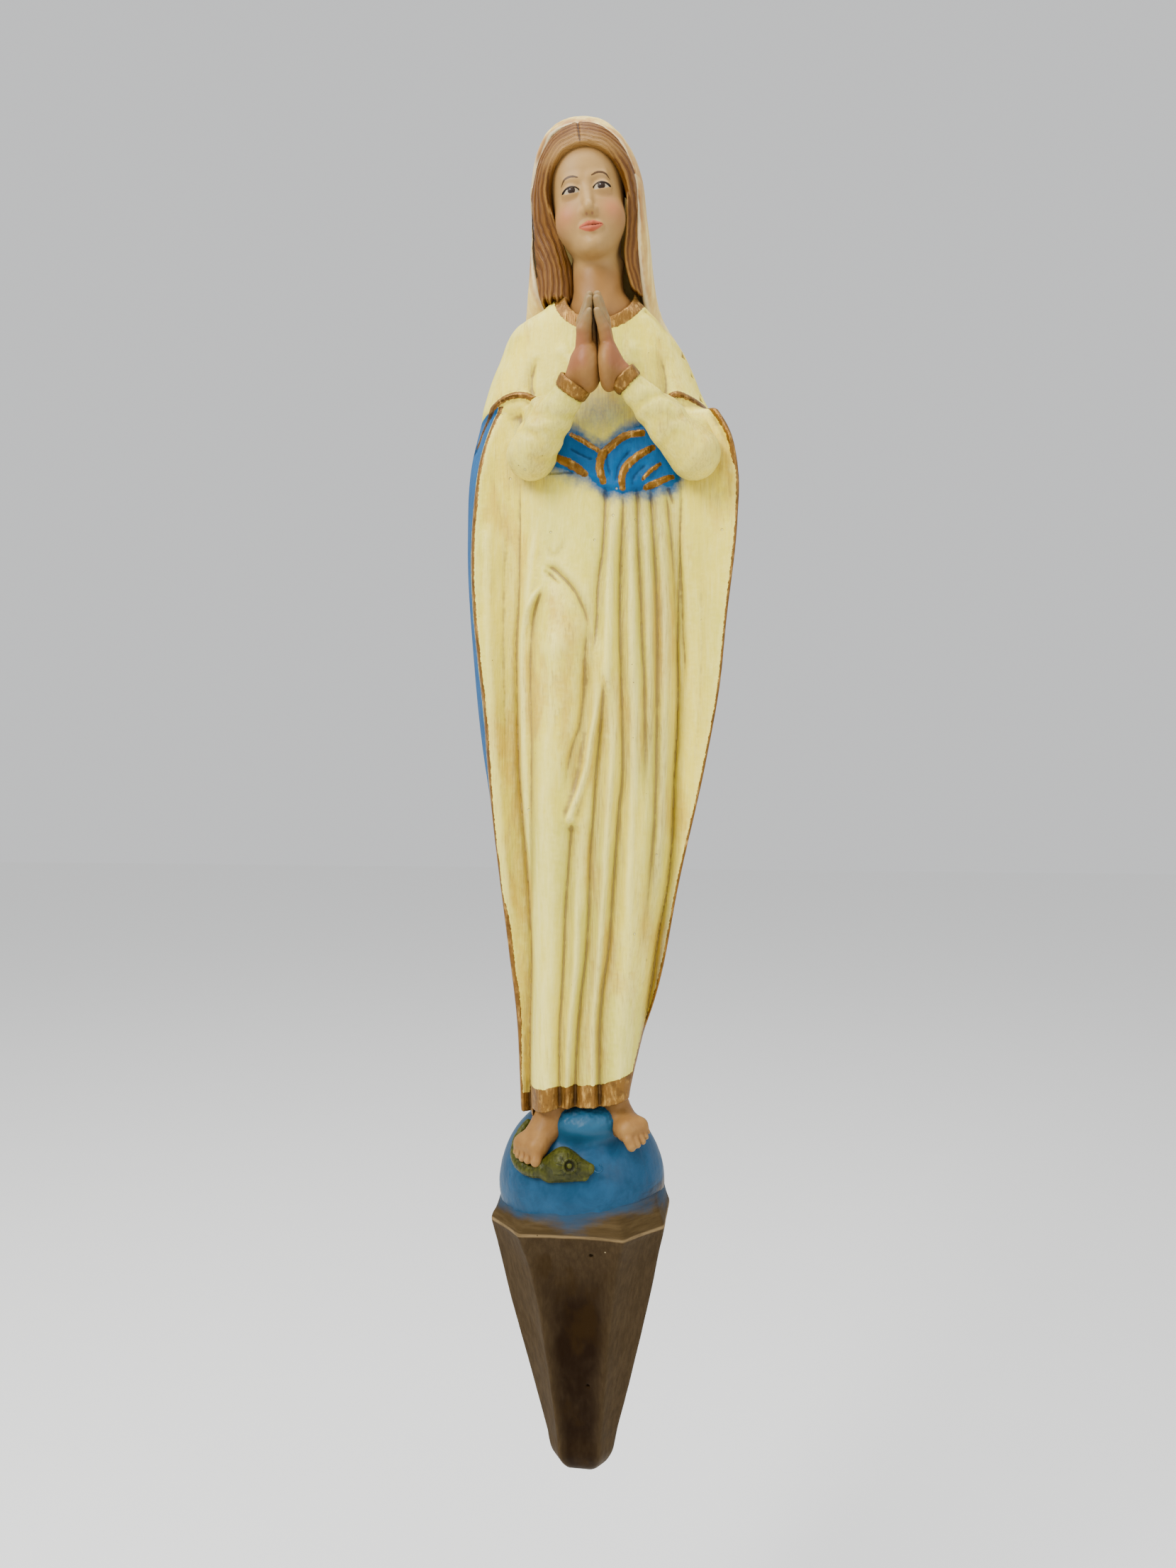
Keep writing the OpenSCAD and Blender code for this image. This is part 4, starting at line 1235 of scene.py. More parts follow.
def face_field(q):
    x, y, z = q
    ax = np.abs(x)
    s = (ax, y, z)
    d = joined(egg(q, (0, 1.5, 444), (16.2, 18.0, 21.3)), egg(q, (0, -4.8, 448.5), (13.6, 12.4, 13.0)), 5)
    d = joined(d, egg(q, (0, -3.6, 431), (14.6, 13.6, 18.5)), 4)
    d = joined(d, egg(q, (0, -9.4, 417.2), (6.6, 7.0, 5.4)), 5)
    d = joined(d, egg(s, (7.4, -8.6, 427.5), (6.6, 6.4, 7.2)), 4)
    d = joined(d, egg(q, (0, -12.6, 414.4), (4.2, 4.4, 3.2)), 2.4)
    # sockets, eyeballs and lids
    d = carved(d, egg(s, (6.3, -19.3, 436.9), (5.0, 3.8, 3.2)), 3.0)
    d = joined(d, limb(s, (2.4, -16.2, 441.6), (8.2, -15.0, 442.2), 0.6, 0.5), 3.6)
    eyeball = egg(s, EYE, (3.7, 2.75, 2.6))
    lids = egg(s, (EYE[0], EYE[1] + 0.1, EYE[2]), (4.3, 3.15, 3.15))
    slit = z - (EYE[2] + 0.95 - 0.075 * (ax - EYE[0]) ** 2)
    slit_low = (EYE[2] - 1.35 + 0.055 * (ax - EYE[0]) ** 2) - z
    d = joined(d, lids, 1.5)
    d = carved(d, np.maximum(np.maximum(slit, slit_low), lids - 0.7), 0.12)
    d = joined(d, eyeball, 0.10)
    # nose
    nose = joined(limb(q, (0, -14.9, 441.0), (0, -18.2, 429.6), 1.7, 1.9), ball(q, (0, -18.5, 428.2), 2.05),
                  1.0)
    nose = joined(nose, ball(s, (1.9, -17.2, 427.5), 1.35), 0.9)
    d = joined(d, nose, 2.2)
    d = carved(d, ball(s, (1.15, -18.2, 425.7), 0.55), 0.5)
    # mouth
    d = joined(d, egg(q, (0, -15.3, 421.2), (4.8, 2.6, 3.0)), 1.6)
    upper = joined(limb(s, (0.9, -17.75, 422.0), (4.3, -16.1, 421.2), 0.95, 0.4),
                   ball(q, (0, -17.7, 421.7), 0.8), 0.5)
    lower = limb(s, (0.0, -17.6, 419.75), (3.3, -16.5, 420.5), 1.1, 0.45)
    d = joined(d, upper, 0.45)
    d = joined(d, lower, 0.45)
    crease = np.hypot(z - (420.95 + 0.022 * ax * ax - 0.18 * np.exp(-(x / 0.9) ** 2)),
                      np.maximum(ax - 4.5, 0)) - 0.10
    d = carved(d, np.maximum(crease, y + 16.2), 0.30)
    d = carved(d, limb(q, (0, -18.7, 424.9), (0, -19.2, 423.3), 0.5, 0.6), 0.7)
    d = carved(d, egg(q, (0, -18.6, 417.4), (3.6, 1.5, 0.9)), 1.2)
    return d


def head_field(p):
    q = head_frame(p)
    d = face_field(q)
    x, y, z = p
    neck = limb((x, y * 0.97, z), (7.9, -31.5, 420), (8.6, -31.0, 392), 10.0, 11.6)
    d = joined(d, neck, 3.2)
    for sign in (-1, 1):
        tendon = limb(p, (8.3 + sign * 9.5, -33, 414), (8.3 + sign * 3.0, -42.2, 391), 1.6, 1.5)
        d = joined(d, tendon, 3.0)
    chest = egg(p, (9.4, -28.0, 392.0), (16.5, 13.6, 11.5))
    d = joined(d, chest, 3.5)
    d = np.maximum(d, 386.5 - z)
    return d + 0.04 * waves(p, 5.0, 91)


def build_head(materials):
    shape = grown(head_field, (-18, -60, 385), (30, -10, 470), 0.3)
    q = head_frame(tuple(shape[0].T))
    x, y, z = q
    ax = np.abs(x)
    front = y < -8
    far = np.full(len(x), 9.0)

    def flat(points):
        return along_path((ax, z), points)

    brow, t = flat([(2.9, 441.4), (5.4, 442.5), (8.0, 442.4), (10.3, 440.7)])
    brow = brow - 0.52 * np.sin(math.pi * np.clip(t * 0.86 + 0.1, 0, 1)) ** 0.7
    lash, t = flat([(3.0, 437.0), (4.3, 437.95), (6.2, 438.35), (8.2, 437.8), (9.9, 436.7)])
    lash = lash - 0.46 * np.clip(0.5 + t, 0, 1)
    under, _ = flat([(4.2, 435.95), (6.3, 435.55), (8.2, 435.95)])
    iris = np.hypot(ax - EYE[0] - 0.1 * np.sign(x), z - EYE[2] + 0.05) - 1.62
    white = np.maximum(z - (EYE[2] + 0.95 - 0.075 * (ax - EYE[0]) ** 2),
                       (EYE[2] - 1.35 + 0.055 * (ax - EYE[0]) ** 2) - z)
    white = np.maximum(white, np.abs(ax - EYE[0]) - 3.2)
    glint = np.hypot(x - np.sign(x) * EYE[0] + 0.35, z - EYE[2] - 0.45) - 0.20
    upper_lip = np.maximum(z - (422.95 - 0.085 * ax - 0.025 * ax * ax - 0.35 * np.exp(-(x / 0.8) ** 2)),
                           420.9 - z)
    lower_lip = np.maximum(z - 421.0, (418.55 + 0.10 * ax * ax) - z)
    lips = np.maximum(np.minimum(upper_lip, lower_lip), ax - 5.0)
    seam = np.hypot(z - (420.95 + 0.022 * ax * ax), np.maximum(ax - 4.7, 0)) - 0.2
    blush = np.exp(-((ax - 9.6) / 4.2) ** 2 - ((z - 428.0) / 4.8) ** 2)

    def only(values):
        return np.where(front, values, far)
    nostril = np.hypot(ax - 1.2, (z - 425.9) * 1.2) - 0.5
    make_piece("head_cast", shape, materials["face"], ["head"], "flesh_paint", 0.3, 1.5,
               brow=only(brow), lash=only(lash), under=only(under - 0.12),
               iris=only(np.maximum(iris, white)),
               white=only(white), glint=only(glint), lips=only(lips), seam=only(seam),
               nostril=only(nostril),
               blush=np.where(front, blush, 0), low=shape[0][:, 2] - 405.0,
               hairline=hair_edge(shape[0][:, 0], shape[0][:, 2]))


# Edge of the hair round the face, in the upright head seen from the front, from the parting down: (x, z).
HAIRLINE = [(0, 454.2), (4.0, 453.7), (8.6, 451.6), (12.6, 447.3), (14.9, 441.0), (15.0, 432), (13.2, 423),
            (11.4, 415), (11.2, 408), (12.4, 399), (14.5, 388)]
# Edge of the veil round the hair, in the shared frame: left and right, from the top down.
VEIL_EDGE_LEFT = [(470, 1.5), (468.5, -5), (465, -11), (458, -16.4), (449, -19.6), (438, -20.8),
                  (425, -20.4), (412, -18.8),
                  (402, -16.4), (394, -13.5), (380, -9)]
VEIL_EDGE_RIGHT = [(470, 1.5), (468.7, 7), (465, 13), (459, 18.6), (451, 22.8), (437, 25), (420, 25.3),
                   (404, 26.2),
                   (395, 28.0), (380, 31)]


def hair_edge(x, z):
    """Distance outside (positive) the edge of the hair, in the front view."""
    q = head_frame((x, np.full_like(x, -50.0), z))
    ax = np.abs(q[0])
    dist, _ = along_path((ax, q[2]), HAIRLINE)
    inside = ax < np.interp(-q[2], *zip(*[(-b, a) for a, b in HAIRLINE]))
    inside &= q[2] < HAIRLINE[0][1]
    return np.where(inside, -dist, dist)


def veil_opening(x, z):
    """Distance outside (positive) the veil's opening, in the front view."""
    left = track(sorted(VEIL_EDGE_LEFT), z)
    right = track(sorted(VEIL_EDGE_RIGHT), z)
    sides = np.maximum(left - x, x - right)
    cap = egg((x, z), (2.0, 445.0), (23.2, 24.4))
    return np.where(z > 449, np.maximum(cap, sides * 0.6), sides)


VEIL = [(350, -46, 58, 10), (362, -41, 51.5, 10), (371, -38, 48.5, 10.5), (380, -34, 44.5, 12),
        (388, -29.5, 39.5, 20),
        (394, -27.5, 36, 29), (404, -25, 33, 38), (413, -23.2, 31.3, 43), (423, -22.2, 30.2, 46),
        (432, -22, 29.2, 48),
        (445, -22, 28, 50), (485, -22, 28, 50)]


def veil_outside(p):
    x, y, z = p
    left, right, front = (track(VEIL, z, k) for k in (1, 2, 3))
    lift = ease(425, 470, z)
    centre = (left + right) / 2 - 2.6 * ease(450, 482, z)
    back = -1.5 - 3.0 * lift
    a = np.abs((x - centre) / ((right - left) / 2)) ** 2.5
    b = np.abs((y + (front - back) / 2) / ((front + back) / 2)) ** 2.5
    top = np.maximum(0, z - 444.0) / 36.2
    return (np.sqrt((a + b) ** 0.8 + top * top + 1e-9) - 1.0) * 22.0


def build_veil(materials):
    def veil(p):
        x, y, z = p
        outside = veil_outside(p)
        slab = np.maximum(np.maximum(track(VEIL, z, 1) - x, x - track(VEIL, z, 2)),
                          np.maximum(-10.0 - y, z - 402))
        outside = joined(outside, slab, 3.0)
        folds = ease(440, 412, z) * np.sin((x - 2.5) * 0.62 + 0.9 * np.sin(z * 0.05) + np.sign(x - 4) * 0.4)
        outside = outside + 0.35 * folds * ease(-12, -22, y) + 0.18 * waves((x, y, z * 0.5), 13.0,
                                                                            101) + 0.04 * waves(p, 2.6, 102)
        opening = veil_opening(x, z)
        well = np.maximum(opening, y + 10.5)
        d = carved(outside, well, 2.2)
        trim = -y - (36.0 + 12.0 * ease(-19, -6, x) + 6 * ease(-10, -24, x) * ease(424, 408, z))
        d = common(d, trim, 2.0)
        d = np.maximum(d, y + 0.0)
        return np.maximum(d, 352.3 - z)
    shape = grown(veil, (-48, -56, 351), (60, 2, 483), 0.5)
    x, y, z = shape[0].T
    spray = veil_opening(x, z)
    make_piece("veil_cast", shape, materials["veil"], ["veil"], "mantle_paint", 0.5, 1.8,
               spray=spray + 1.5 * waves((x, y, z), 12.0, 103) - 2.4 * ease(4, -6, x) * ease(412, 425, z),
               low=z - 392.0, back=y)

    def hair(p):
        x, y, z = p
        q = head_frame(p)
        edge = hair_edge(x, z)
        inside_veil = veil_opening(x, z) - 1.2
        # front surface: over the forehead, round the temples and down beside the neck
        cap = egg(q, (0, 0.4, 444.5), (22.0, 21.4, 28.0))
        left = limb(p, (-11.0, -33.0, 443), (-9.6, -32.5, 398), 9.6, 8.2)
        right = limb(p, (16.5, -33.0, 443), (20.6, -33.0, 398), 9.6, 7.2)
        mass = joined(joined(cap, left, 4.0), right, 4.0)
        thin = 1.1 + 1.6 * np.maximum(edge, 0) + 14.0 * ease(433, 414, q[2])
        mass = common(mass, face_field(q) - thin, 1.5)
        wander = 1.5 * waves((x, y * 0.4, z * 0.5), 17.0, 111) + 0.5 * waves((x, y * 0.4, z * 0.7), 6.0,
                                                                             112)
        lines = edge + 0.6 * wander
        strands = (np.sin(lines * 2.8) * 0.34 + np.sin(lines * 5.6 + 1.0) * 0.16
                   + np.sin(lines * 1.05 + 2) * 0.25)
        part = np.exp(-(q[0] / 0.55) ** 2) * ease(455, 458, q[2])
        mass = mass - strands * ease(-0.2, 2.0, edge) * 0.42 + 0.6 * part
        d = common(mass, -edge + 0.3, 1.4)
        d = common(d, inside_veil, 1.0)
        bottom = 397.6 + 0.9 * np.sin(x * 1.7) + 0.5 * np.sin(x * 3.9)
        d = common(d, bottom - z, 1.5)
        return np.maximum(d, y + 10.6)
    shape = grown(hair, (-27, -60, 394), (31, -10, 472), 0.42)
    x, y, z = shape[0].T
    q = head_frame((x, y, z))
    wander = 1.5 * waves((x, y * 0.4, z * 0.5), 17.0, 111) + 0.5 * waves((x, y * 0.4, z * 0.7), 6.0, 112)
    make_piece("hair_cast", shape, materials["hair"], ["hair"], "hair_paint", 0.42, 1.0,
               strand=hair_edge(x, z) + 0.6 * wander, top=q[2] - 445.0, parting=np.abs(q[0]),
               edge=hair_edge(x, z))


def build_back(materials):
    def fill(p):
        x, y, z = p
        left, right = track(SEAM_LEFT, z), track(SEAM_RIGHT, z) - 5.5 * ease(90, 62, z)
        d = common(left - x, x - right, 0.4)
        d = common(d, -10.0 - y, 0.4)
        rough = 0.30 * np.abs(waves((x, 0 * y, z * 1.7), 18.0, 121)) + 0.16 * waves((x * 0.35, 0 * y, z),
                                                                                    4.0, 122)
        d = common(d, y + rough, 0.8)
        d = common(d, np.maximum(52.0 - z, z - 352.0), 0.8)
        recess = np.maximum(np.abs(x - 10.0) - 13.9, np.abs(z - 322.0) - 15.9)
        recess = recess + 0.35 * waves(p, 9.0, 123)
        return carved(d, recess, 1.2)
    shape = grown(fill, (-30, -11, 50), (48, 1, 354), 0.6)
    make_piece("back_cast", shape, materials["bare"], ["back_fill"], "bare_plaster", 0.6, 1.6)


# ---------------------------------------------------------------- materials of the other pieces

def console_material():
    k = Kit("bronze_brown_paint")
    front, rim = k.attribute("front"), k.attribute("rim")
    split = k.nodes.new("ShaderNodeSeparateXYZ")
    k.links.new(k.place, split.inputs[0])
    high = split.outputs["Z"]
    down = k.noise(1.6, 5, 0.62, (1, 1, 16), 0.2)
    across = k.noise(1.6, 5, 0.62, (9, 9, 1), 0.3)
    cloud = k.noise(24, 4, 0.6, (1, 1, 1.6), 0.4)
    on_top = k.span(high, -0.0005, 0.0012)
    colour = k.mix(k.span(down, 0.3, 0.75), (0.037, 0.0225, 0.0095), (0.056, 0.036, 0.016))
    # painted shade on the front facet, deeper lower down, then darker patches on it
    front_facet_shade = k.maths("MULTIPLY", front, k.span(cloud, 0.28, 0.58, 0.55, 1.0))
    front_facet_shade = k.maths("MULTIPLY", front_facet_shade, k.span(high, -0.004, -0.040, 0.25, 0.95))
    colour = k.mix(front_facet_shade, colour, (0.0085, 0.0030, 0.0003))
    stain_and_shade = k.maths("MULTIPLY", front, k.span(k.noise(15, 3, 0.6, (1, 1, 1.8)), 0.50, 0.66, 0.0, 0.55))
    colour = k.mix(stain_and_shade, colour, (0.024, 0.0115, 0.0016))
    # the shelf's top brushed across and a little lighter than the sides: painted light on the upward face
    shelf = k.mix(k.span(across, 0.30, 0.74), (0.042, 0.026, 0.0095), (0.068, 0.044, 0.018))
    colour = k.mix(on_top, colour, shelf)
    uneven = k.maths("MULTIPLY", k.maths("SUBTRACT", k.noise(9, 4, 0.6, (1, 1, 0.5)), 0.5), 5.0)
    spray = k.span(k.maths("ADD", k.attribute("near"), uneven), 3.6, -0.8)
    colour = k.mix(k.maths("MULTIPLY", on_top, k.maths("MULTIPLY", spray, 0.8)), colour,
                   (0.010, 0.048, 0.095))
    # lighter along the shelf's rim: worn paint and a painted highlight on the arris
    worn = k.maths("MULTIPLY", k.span(rim, 0.2, 1.1, 0.85, 0.0), k.span(across, 0.30, 0.6, 0.3, 1.0))
    colour = k.mix(worn, colour, (0.22, 0.150, 0.070))
    pits = k.spots(7.5, 0.022, 0.045)
    colour = k.mix(k.maths("MULTIPLY", k.spots(13, 0.020, 0.032), 0.8), colour, (0.30, 0.24, 0.14))
    colour = k.mix(k.maths("MULTIPLY", pits, 0.8), colour, (0.008, 0.004, 0.001))
    height = k.maths("ADD", k.maths("MULTIPLY", down, 0.5),
                     k.maths("MULTIPLY", k.maths("MULTIPLY", across, on_top), 1.2))
    height = k.maths("SUBTRACT", height, pits)
    rough = k.span(cloud, 0.3, 0.7, 0.50, 0.62)
    return k.finish(colour, rough, k.bump(height, 0.20, 0.7), 0.0, 0.03, 0.0, 0.3)


def globe_material():
    k = Kit("blue_globe_paint")
    cavity, above, lump = k.attribute("cavity"), k.attribute("above"), k.attribute("lump")
    cloud = k.noise(9, 5, 0.65, (1, 1, 1), 0.5)
    across = k.noise(1.7, 5, 0.62, (8, 8, 1), 0.3)
    grain = k.noise(0.9, 3, 0.6)
    colour = k.mix(k.span(cloud, 0.32, 0.72), (0.0070, 0.042, 0.088), (0.0125, 0.062, 0.128))
    colour = k.mix(k.span(lump, -3.0, 4.0, 0.0, 0.7), colour, (0.018, 0.082, 0.140))
    colour = k.mix(k.maths("MULTIPLY", k.span(cloud, 0.60, 0.74), k.span(above, 14, 2, 0.0, 0.45)), colour,
                   (0.024, 0.036, 0.026))
    uneven = k.maths("MULTIPLY", k.maths("SUBTRACT", k.noise(9, 4, 0.6, (1, 1, 0.5)), 0.5), 7.0)
    fade = k.span(k.maths("ADD", above, uneven), -4.0, 3.0)
    bronze = k.mix(k.span(across, 0.36, 0.68), (0.042, 0.026, 0.0095), (0.068, 0.044, 0.018))
    colour = k.mix(fade, bronze, colour)
    seam = k.maths("MULTIPLY", k.span(k.maths("ADD", above, uneven), -2.5, 0.2),
                   k.span(k.maths("ADD", above, uneven), 4.0, 1.0))
    colour = k.mix(k.maths("MULTIPLY", seam, k.span(across, 0.45, 0.62, 0.0, 0.5)), colour,
                   (0.008, 0.009, 0.010))
    # darker in hollows: painted shade
    colour = k.mix(k.span(cavity, 0.02, 0.22, 0.0, 0.6), colour, (0.004, 0.014, 0.024))
    chips = k.spots(10, 0.02, 0.04)
    colour = k.mix(k.maths("MULTIPLY", chips, 0.75), colour, (0.006, 0.012, 0.018))
    height = k.maths("ADD", k.maths("MULTIPLY", across, 0.35), k.maths("MULTIPLY", grain, 0.35))
    height = k.maths("SUBTRACT", height, chips)
    return k.finish(colour, k.span(cloud, 0.3, 0.7, 0.36, 0.48), k.bump(height, 0.20, 0.8), 0.0, 0.14, 0.0,
                    0.3)


def serpent_material():
    k = Kit("olive_serpent_paint")
    cavity, eye, spokes = k.attribute("cavity"), k.attribute("eye"), k.attribute("spokes")
    cloud = k.noise(3.4, 5, 0.65, (1, 1, 1), 0.6)
    colour = k.mix(k.span(cloud, 0.30, 0.70), (0.016, 0.018, 0.0010), (0.042, 0.042, 0.0030))
    # painted highlight on ridges and painted shade in hollows
    colour = k.mix(k.span(cavity, -0.03, -0.20, 0.0, 0.55), colour, (0.080, 0.082, 0.009))
    colour = k.mix(k.span(cavity, 0.02, 0.20, 0.0, 0.9), colour, (0.0055, 0.0055, 0.0008))
    ring = k.maths("MULTIPLY", k.span(eye, 1.5, 2.2), k.span(eye, 3.3, 2.6))
    colour = k.mix(k.maths("MULTIPLY", ring, 0.55), colour, (0.013, 0.012, 0.0012))
    scratch = k.span(spokes, 0.55, 0.9)
    colour = k.mix(k.maths("MULTIPLY", scratch, 0.55), colour, (0.010, 0.010, 0.001))
    grain = k.noise(0.8, 3, 0.6)
    height = k.maths("SUBTRACT", k.maths("MULTIPLY", grain, 0.5), k.maths("MULTIPLY", scratch, 0.6))
    return k.finish(colour, 0.42, k.bump(height, 0.25, 0.8), 0.0, 0.16, 0.0, 0.3)


FLESH = (0.205, 0.096, 0.025)
FLESH_SHADE = (0.120, 0.046, 0.012)
ROSY = (0.25, 0.078, 0.036)


def flesh_base(k):
    cavity = k.attribute("cavity")
    soft = k.noise(7, 3, 0.55)
    colour = k.mix(k.span(soft, 0.32, 0.7), FLESH, (0.255, 0.128, 0.034))
    # painted shade in hollows and painted highlight on ridges
    colour = k.mix(k.span(cavity, 0.02, 0.24, 0.0, 0.8), colour, FLESH_SHADE)
    return k.mix(k.span(cavity, -0.04, -0.22, 0.0, 0.25), colour, (0.34, 0.19, 0.055)), soft


def flesh_finish(k, colour, soft):
    grain = k.noise(0.7, 3, 0.6)
    height = k.maths("ADD", k.maths("MULTIPLY", grain, 0.3), k.maths("MULTIPLY", soft, 0.8))
    return k.finish(colour, k.span(soft, 0.3, 0.7, 0.42, 0.52), k.bump(height, 0.10, 0.6), 0.0, 0.16, 0.0,
                    0.3)


def flesh_material():
    k = Kit("painted_flesh")
    colour, soft = flesh_base(k)
    lines, rosy, grey, shade = (k.attribute(name) for name in ("lines", "rosy", "grey", "shade"))
    colour = k.mix(k.maths("MULTIPLY", rosy, 0.8), colour, ROSY)
    colour = k.mix(k.maths("MULTIPLY", grey, k.span(k.noise(2.2, 4), 0.32, 0.62, 0.45, 1.0)), colour,
                   (0.21, 0.145, 0.060))
    colour = k.mix(k.maths("MULTIPLY", shade, 0.6), colour, (0.16, 0.066, 0.014))
    # dark lines in the crevices between fingers, toes and palms: painted shade
    colour = k.mix(k.span(lines, 1.5, 0.25, 0.0, 0.8), colour, (0.075, 0.038, 0.013))
    return flesh_finish(k, colour, soft)


def face_material():
    k = Kit("painted_face")
    colour, soft = flesh_base(k)
    edge = k.span(k.noise(0.55, 3), 0.3, 0.7, -0.05, 0.05)
    colour = k.mix(0.62, colour, (0.42, 0.26, 0.090))

    def inside(name, width=0.09):
        return k.span(k.maths("ADD", k.attribute(name), edge), width, -width)
    # darker below the chin and down the neck: painted shade
    colour = k.mix(k.span(k.attribute("low"), 9.0, 0.0, 0.0, 0.7), colour, (0.215, 0.088, 0.018))
    colour = k.mix(k.span(k.attribute("hairline"), -4.5, 0.5, 0.0, 0.55), colour, (0.19, 0.092, 0.028))
    colour = k.mix(k.maths("MULTIPLY", k.attribute("blush"), 0.6), colour, (0.38, 0.105, 0.045))
    colour = k.mix(inside("lips", 0.22), colour, (0.38, 0.082, 0.036))
    colour = k.mix(k.maths("MULTIPLY", inside("seam", 0.25), 0.8), colour, (0.13, 0.024, 0.012))
    colour = k.mix(inside("white"), colour, (0.36, 0.29, 0.18))
    colour = k.mix(inside("iris", 0.12), colour, (0.018, 0.009, 0.005))
    colour = k.mix(k.maths("MULTIPLY", inside("under", 0.14), 0.55), colour, (0.20, 0.10, 0.05))
    colour = k.mix(inside("lash"), colour, (0.012, 0.006, 0.003))
    colour = k.mix(k.maths("MULTIPLY", inside("brow", 0.13), 0.95), colour, (0.050, 0.024, 0.010))
    colour = k.mix(k.maths("MULTIPLY", inside("nostril", 0.2), 0.7), colour, (0.20, 0.085, 0.045))
    colour = k.mix(inside("glint", 0.08), colour, (0.85, 0.85, 0.85))
    return flesh_finish(k, colour, soft)


def hair_material():
    k = Kit("gold_brown_hair_paint")
    cavity, strand, top = k.attribute("cavity"), k.attribute("strand"), k.attribute("top")
    edge, parting = k.attribute("edge"), k.attribute("parting")
    wave = k.maths("SINE", k.maths("MULTIPLY", strand, 2.8))
    fine = k.maths("SINE", k.maths("MULTIPLY", strand, 11.0))
    blotch = k.noise(6, 4, 0.6, (1, 1, 2.5), 0.4)
    colour = k.mix(k.span(wave, -0.7, 0.9), (0.105, 0.038, 0.0045), (0.165, 0.068, 0.0095))
    colour = k.mix(k.span(blotch, 0.46, 0.70, 0.0, 0.45), colour, (0.062, 0.022, 0.003))
    pale = k.maths("MULTIPLY", k.span(top, 2.0, 9.0), k.span(edge, 9.0, 3.0))
    colour = k.mix(k.maths("MULTIPLY", pale, 0.70), colour, (0.280, 0.150, 0.040))
    # darker in hollows: painted shade
    colour = k.mix(k.span(cavity, 0.02, 0.22, 0.0, 0.70), colour, (0.040, 0.014, 0.002))
    colour = k.mix(k.span(fine, 0.55, 0.95, 0.0, 0.25), colour, (0.045, 0.017, 0.003))
    # lighter on ridges: painted highlight
    colour = k.mix(k.span(cavity, -0.05, -0.22, 0.0, 0.40), colour, (0.33, 0.175, 0.040))
    line = k.maths("MULTIPLY", k.span(parting, 0.55, 0.2), k.span(top, 9.5, 11.5))
    colour = k.mix(k.maths("MULTIPLY", line, 0.8), colour, (0.040, 0.015, 0.003))
    height = k.maths("ADD", k.maths("MULTIPLY", fine, 0.35), k.maths("MULTIPLY", wave, 0.25))
    return k.finish(colour, k.span(blotch, 0.3, 0.7, 0.40, 0.54), k.bump(height, 0.18, 0.7), 0.0, 0.16, 0.0,
                    0.3)


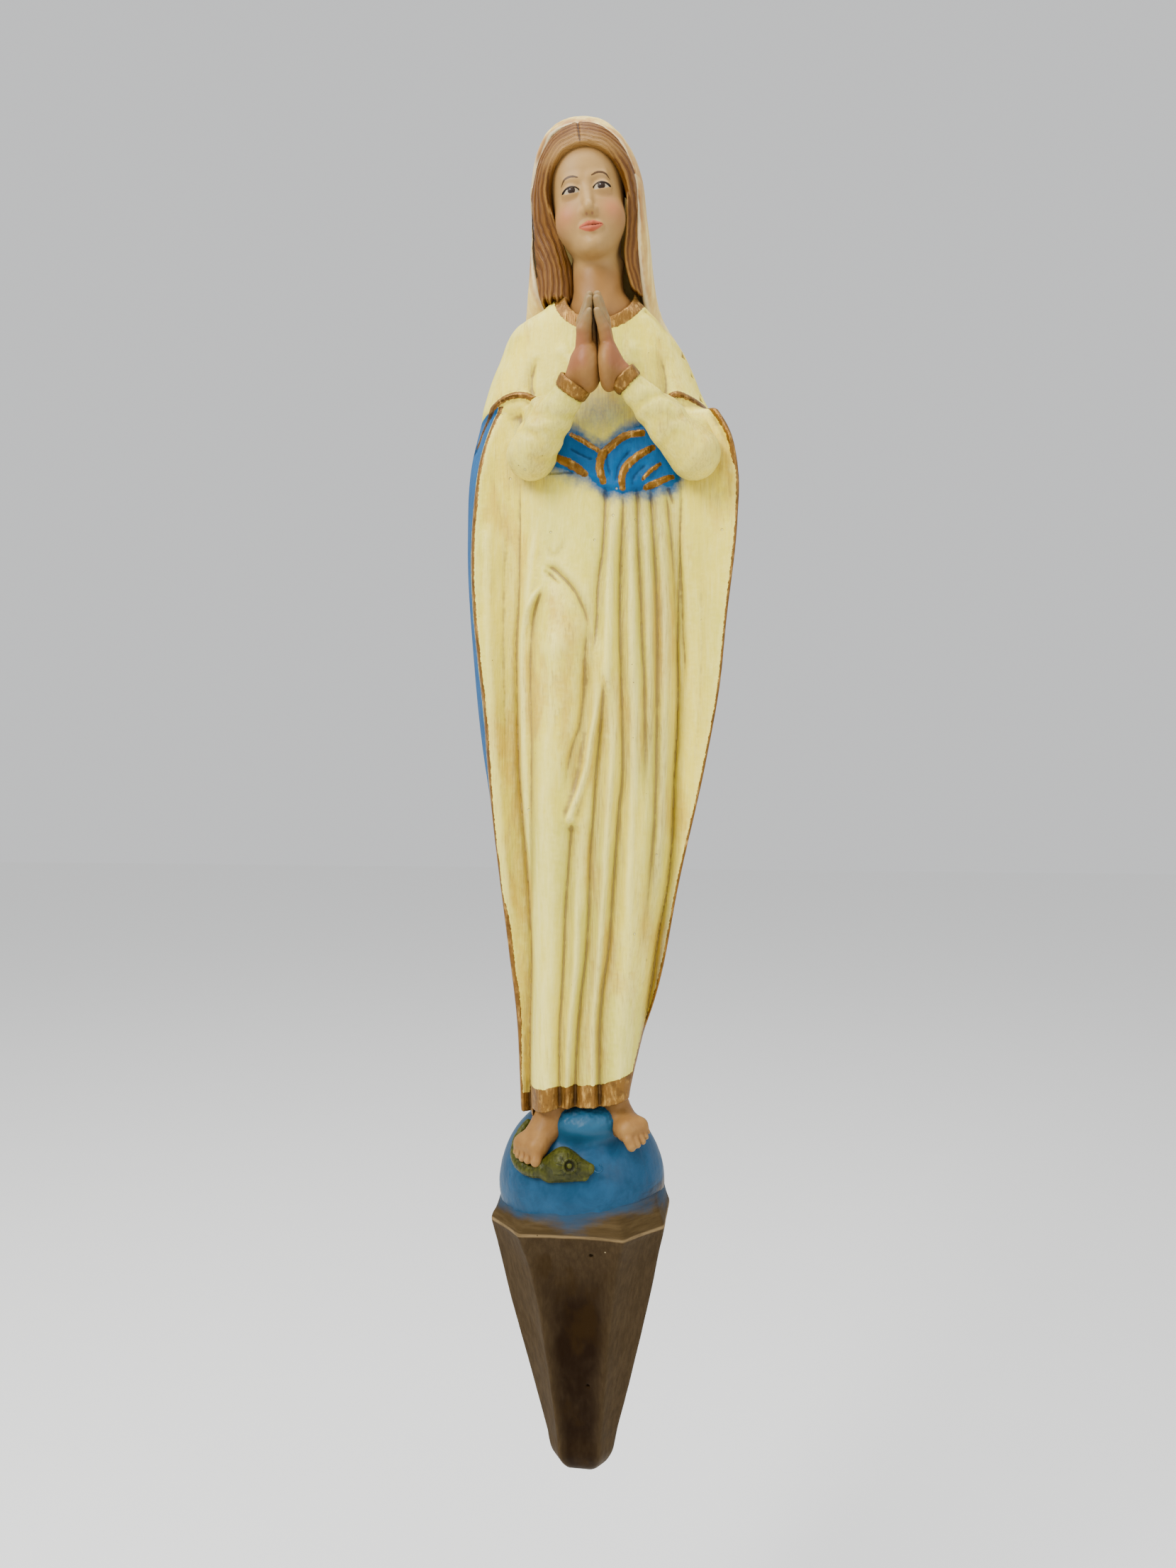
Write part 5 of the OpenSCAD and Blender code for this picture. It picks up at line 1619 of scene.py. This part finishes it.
def veil_material():
    k = Kit("cream_veil_paint")
    cavity, spray, low, back = (k.attribute(name) for name in ("cavity", "spray", "low", "back"))
    streak = k.noise(2.4, 5, 0.62, (1, 1, 9), 0.3)
    cloud = k.noise(20, 3, 0.55, (1, 1, 2.0))
    colour = k.mix(k.span(cloud, 0.35, 0.66), (0.74, 0.57, 0.15), (0.68, 0.47, 0.110))
    colour = k.mix(k.span(streak, 0.42, 0.72, 0.0, 0.6), colour, (0.84, 0.70, 0.28))
    uneven = k.maths("MULTIPLY", k.maths("SUBTRACT", streak, 0.5), 5.0)
    warm = k.span(k.maths("ADD", spray, uneven), 7.0, 0.5)
    facing = k.span(back, -9.0, -15.0)
    warm = k.maths("MULTIPLY", warm, k.maths("MULTIPLY", facing, k.span(low, 0.0, 12.0)))
    colour = k.mix(k.maths("MULTIPLY", warm, 0.92), colour, (0.35, 0.145, 0.026))
    # painted shade inside the veil's opening, behind the hair
    deep = k.maths("MULTIPLY", facing, k.span(k.maths("ADD", spray, k.maths("MULTIPLY", uneven, 0.4)), 1.6,
                                              -0.6))
    colour = k.mix(k.maths("MULTIPLY", deep, k.span(low, 3.0, 8.0)), colour, (0.200, 0.085, 0.014))
    # painted shade in hollows and painted highlight on ridges
    colour = k.mix(k.span(cavity, 0.03, 0.24, 0.0, 0.7), colour, (0.26, 0.155, 0.040))
    colour = k.mix(k.span(cavity, -0.04, -0.2, 0.0, 0.4), colour, (0.88, 0.80, 0.46))
    chips = k.spots(8.0, 0.03, 0.06)
    colour = k.mix(k.maths("MULTIPLY", chips, 0.5), colour, (0.45, 0.32, 0.18))
    height = k.maths("SUBTRACT", k.maths("MULTIPLY", streak, 0.8), chips)
    return k.finish(colour, k.span(streak, 0.3, 0.7, 0.42, 0.58), k.bump(height, 0.22, 0.8), 0.0, 0.32, 0.0,
                    0.35)


def bare_material():
    k = Kit("bare_poured_plaster")
    cavity = k.attribute("cavity")
    cloud = k.noise(30, 4, 0.6, (1, 1, 1), 0.4)
    trowel = k.noise(3, 4, 0.6, (9, 1, 1), 0.3)
    colour = k.mix(k.span(cloud, 0.35, 0.65), (0.72, 0.68, 0.58), (0.63, 0.57, 0.45))
    colour = k.mix(k.span(trowel, 0.55, 0.8, 0.0, 0.4), colour, (0.50, 0.43, 0.32))
    # darker in hollows: painted shade
    colour = k.mix(k.span(cavity, 0.02, 0.2, 0.0, 0.6), colour, (0.38, 0.31, 0.22))
    pits = k.spots(4.5, 0.05, 0.11)
    colour = k.mix(k.maths("MULTIPLY", pits, 0.7), colour, (0.33, 0.27, 0.19))
    height = k.maths("SUBTRACT", k.maths("MULTIPLY", trowel, 0.7), pits)
    return k.finish(colour, 0.85, k.bump(height, 0.35, 0.8), 0.0, 0.3)


def iron_material():
    k = Kit("rusted_iron")
    cloud = k.noise(4, 5, 0.65, (1, 1, 1), 0.5)
    colour = k.mix(k.span(cloud, 0.40, 0.62), (0.16, 0.15, 0.145), (0.19, 0.065, 0.022))
    rough = k.span(cloud, 0.4, 0.62, 0.42, 0.85)
    return k.finish(colour, rough, k.bump(k.noise(0.8, 4), 0.15, 0.8), 0.6, 0.5)


def finish_ironwork():
    iron = iron_material()
    for name in ("armature_rod", "neck_dowel", "wrist_pin_right", "wrist_pin_left", "hanging_bar"):
        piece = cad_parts[name]
        piece.data.materials.clear()
        piece.data.materials.append(iron)


# ---------------------------------------------------------------- everything in order

stage()
materials = {"cloth": cloth_material(), "console": console_material(), "globe": globe_material(),
             "serpent": serpent_material(), "flesh": flesh_material(), "face": face_material(),
             "hair": hair_material(), "veil": veil_material(), "bare": bare_material()}
build_cloth(materials)
build_console(materials)
build_serpent(materials)
build_feet(materials)
build_arms(materials)
build_head(materials)
build_veil(materials)
build_back(materials)
finish_ironwork()
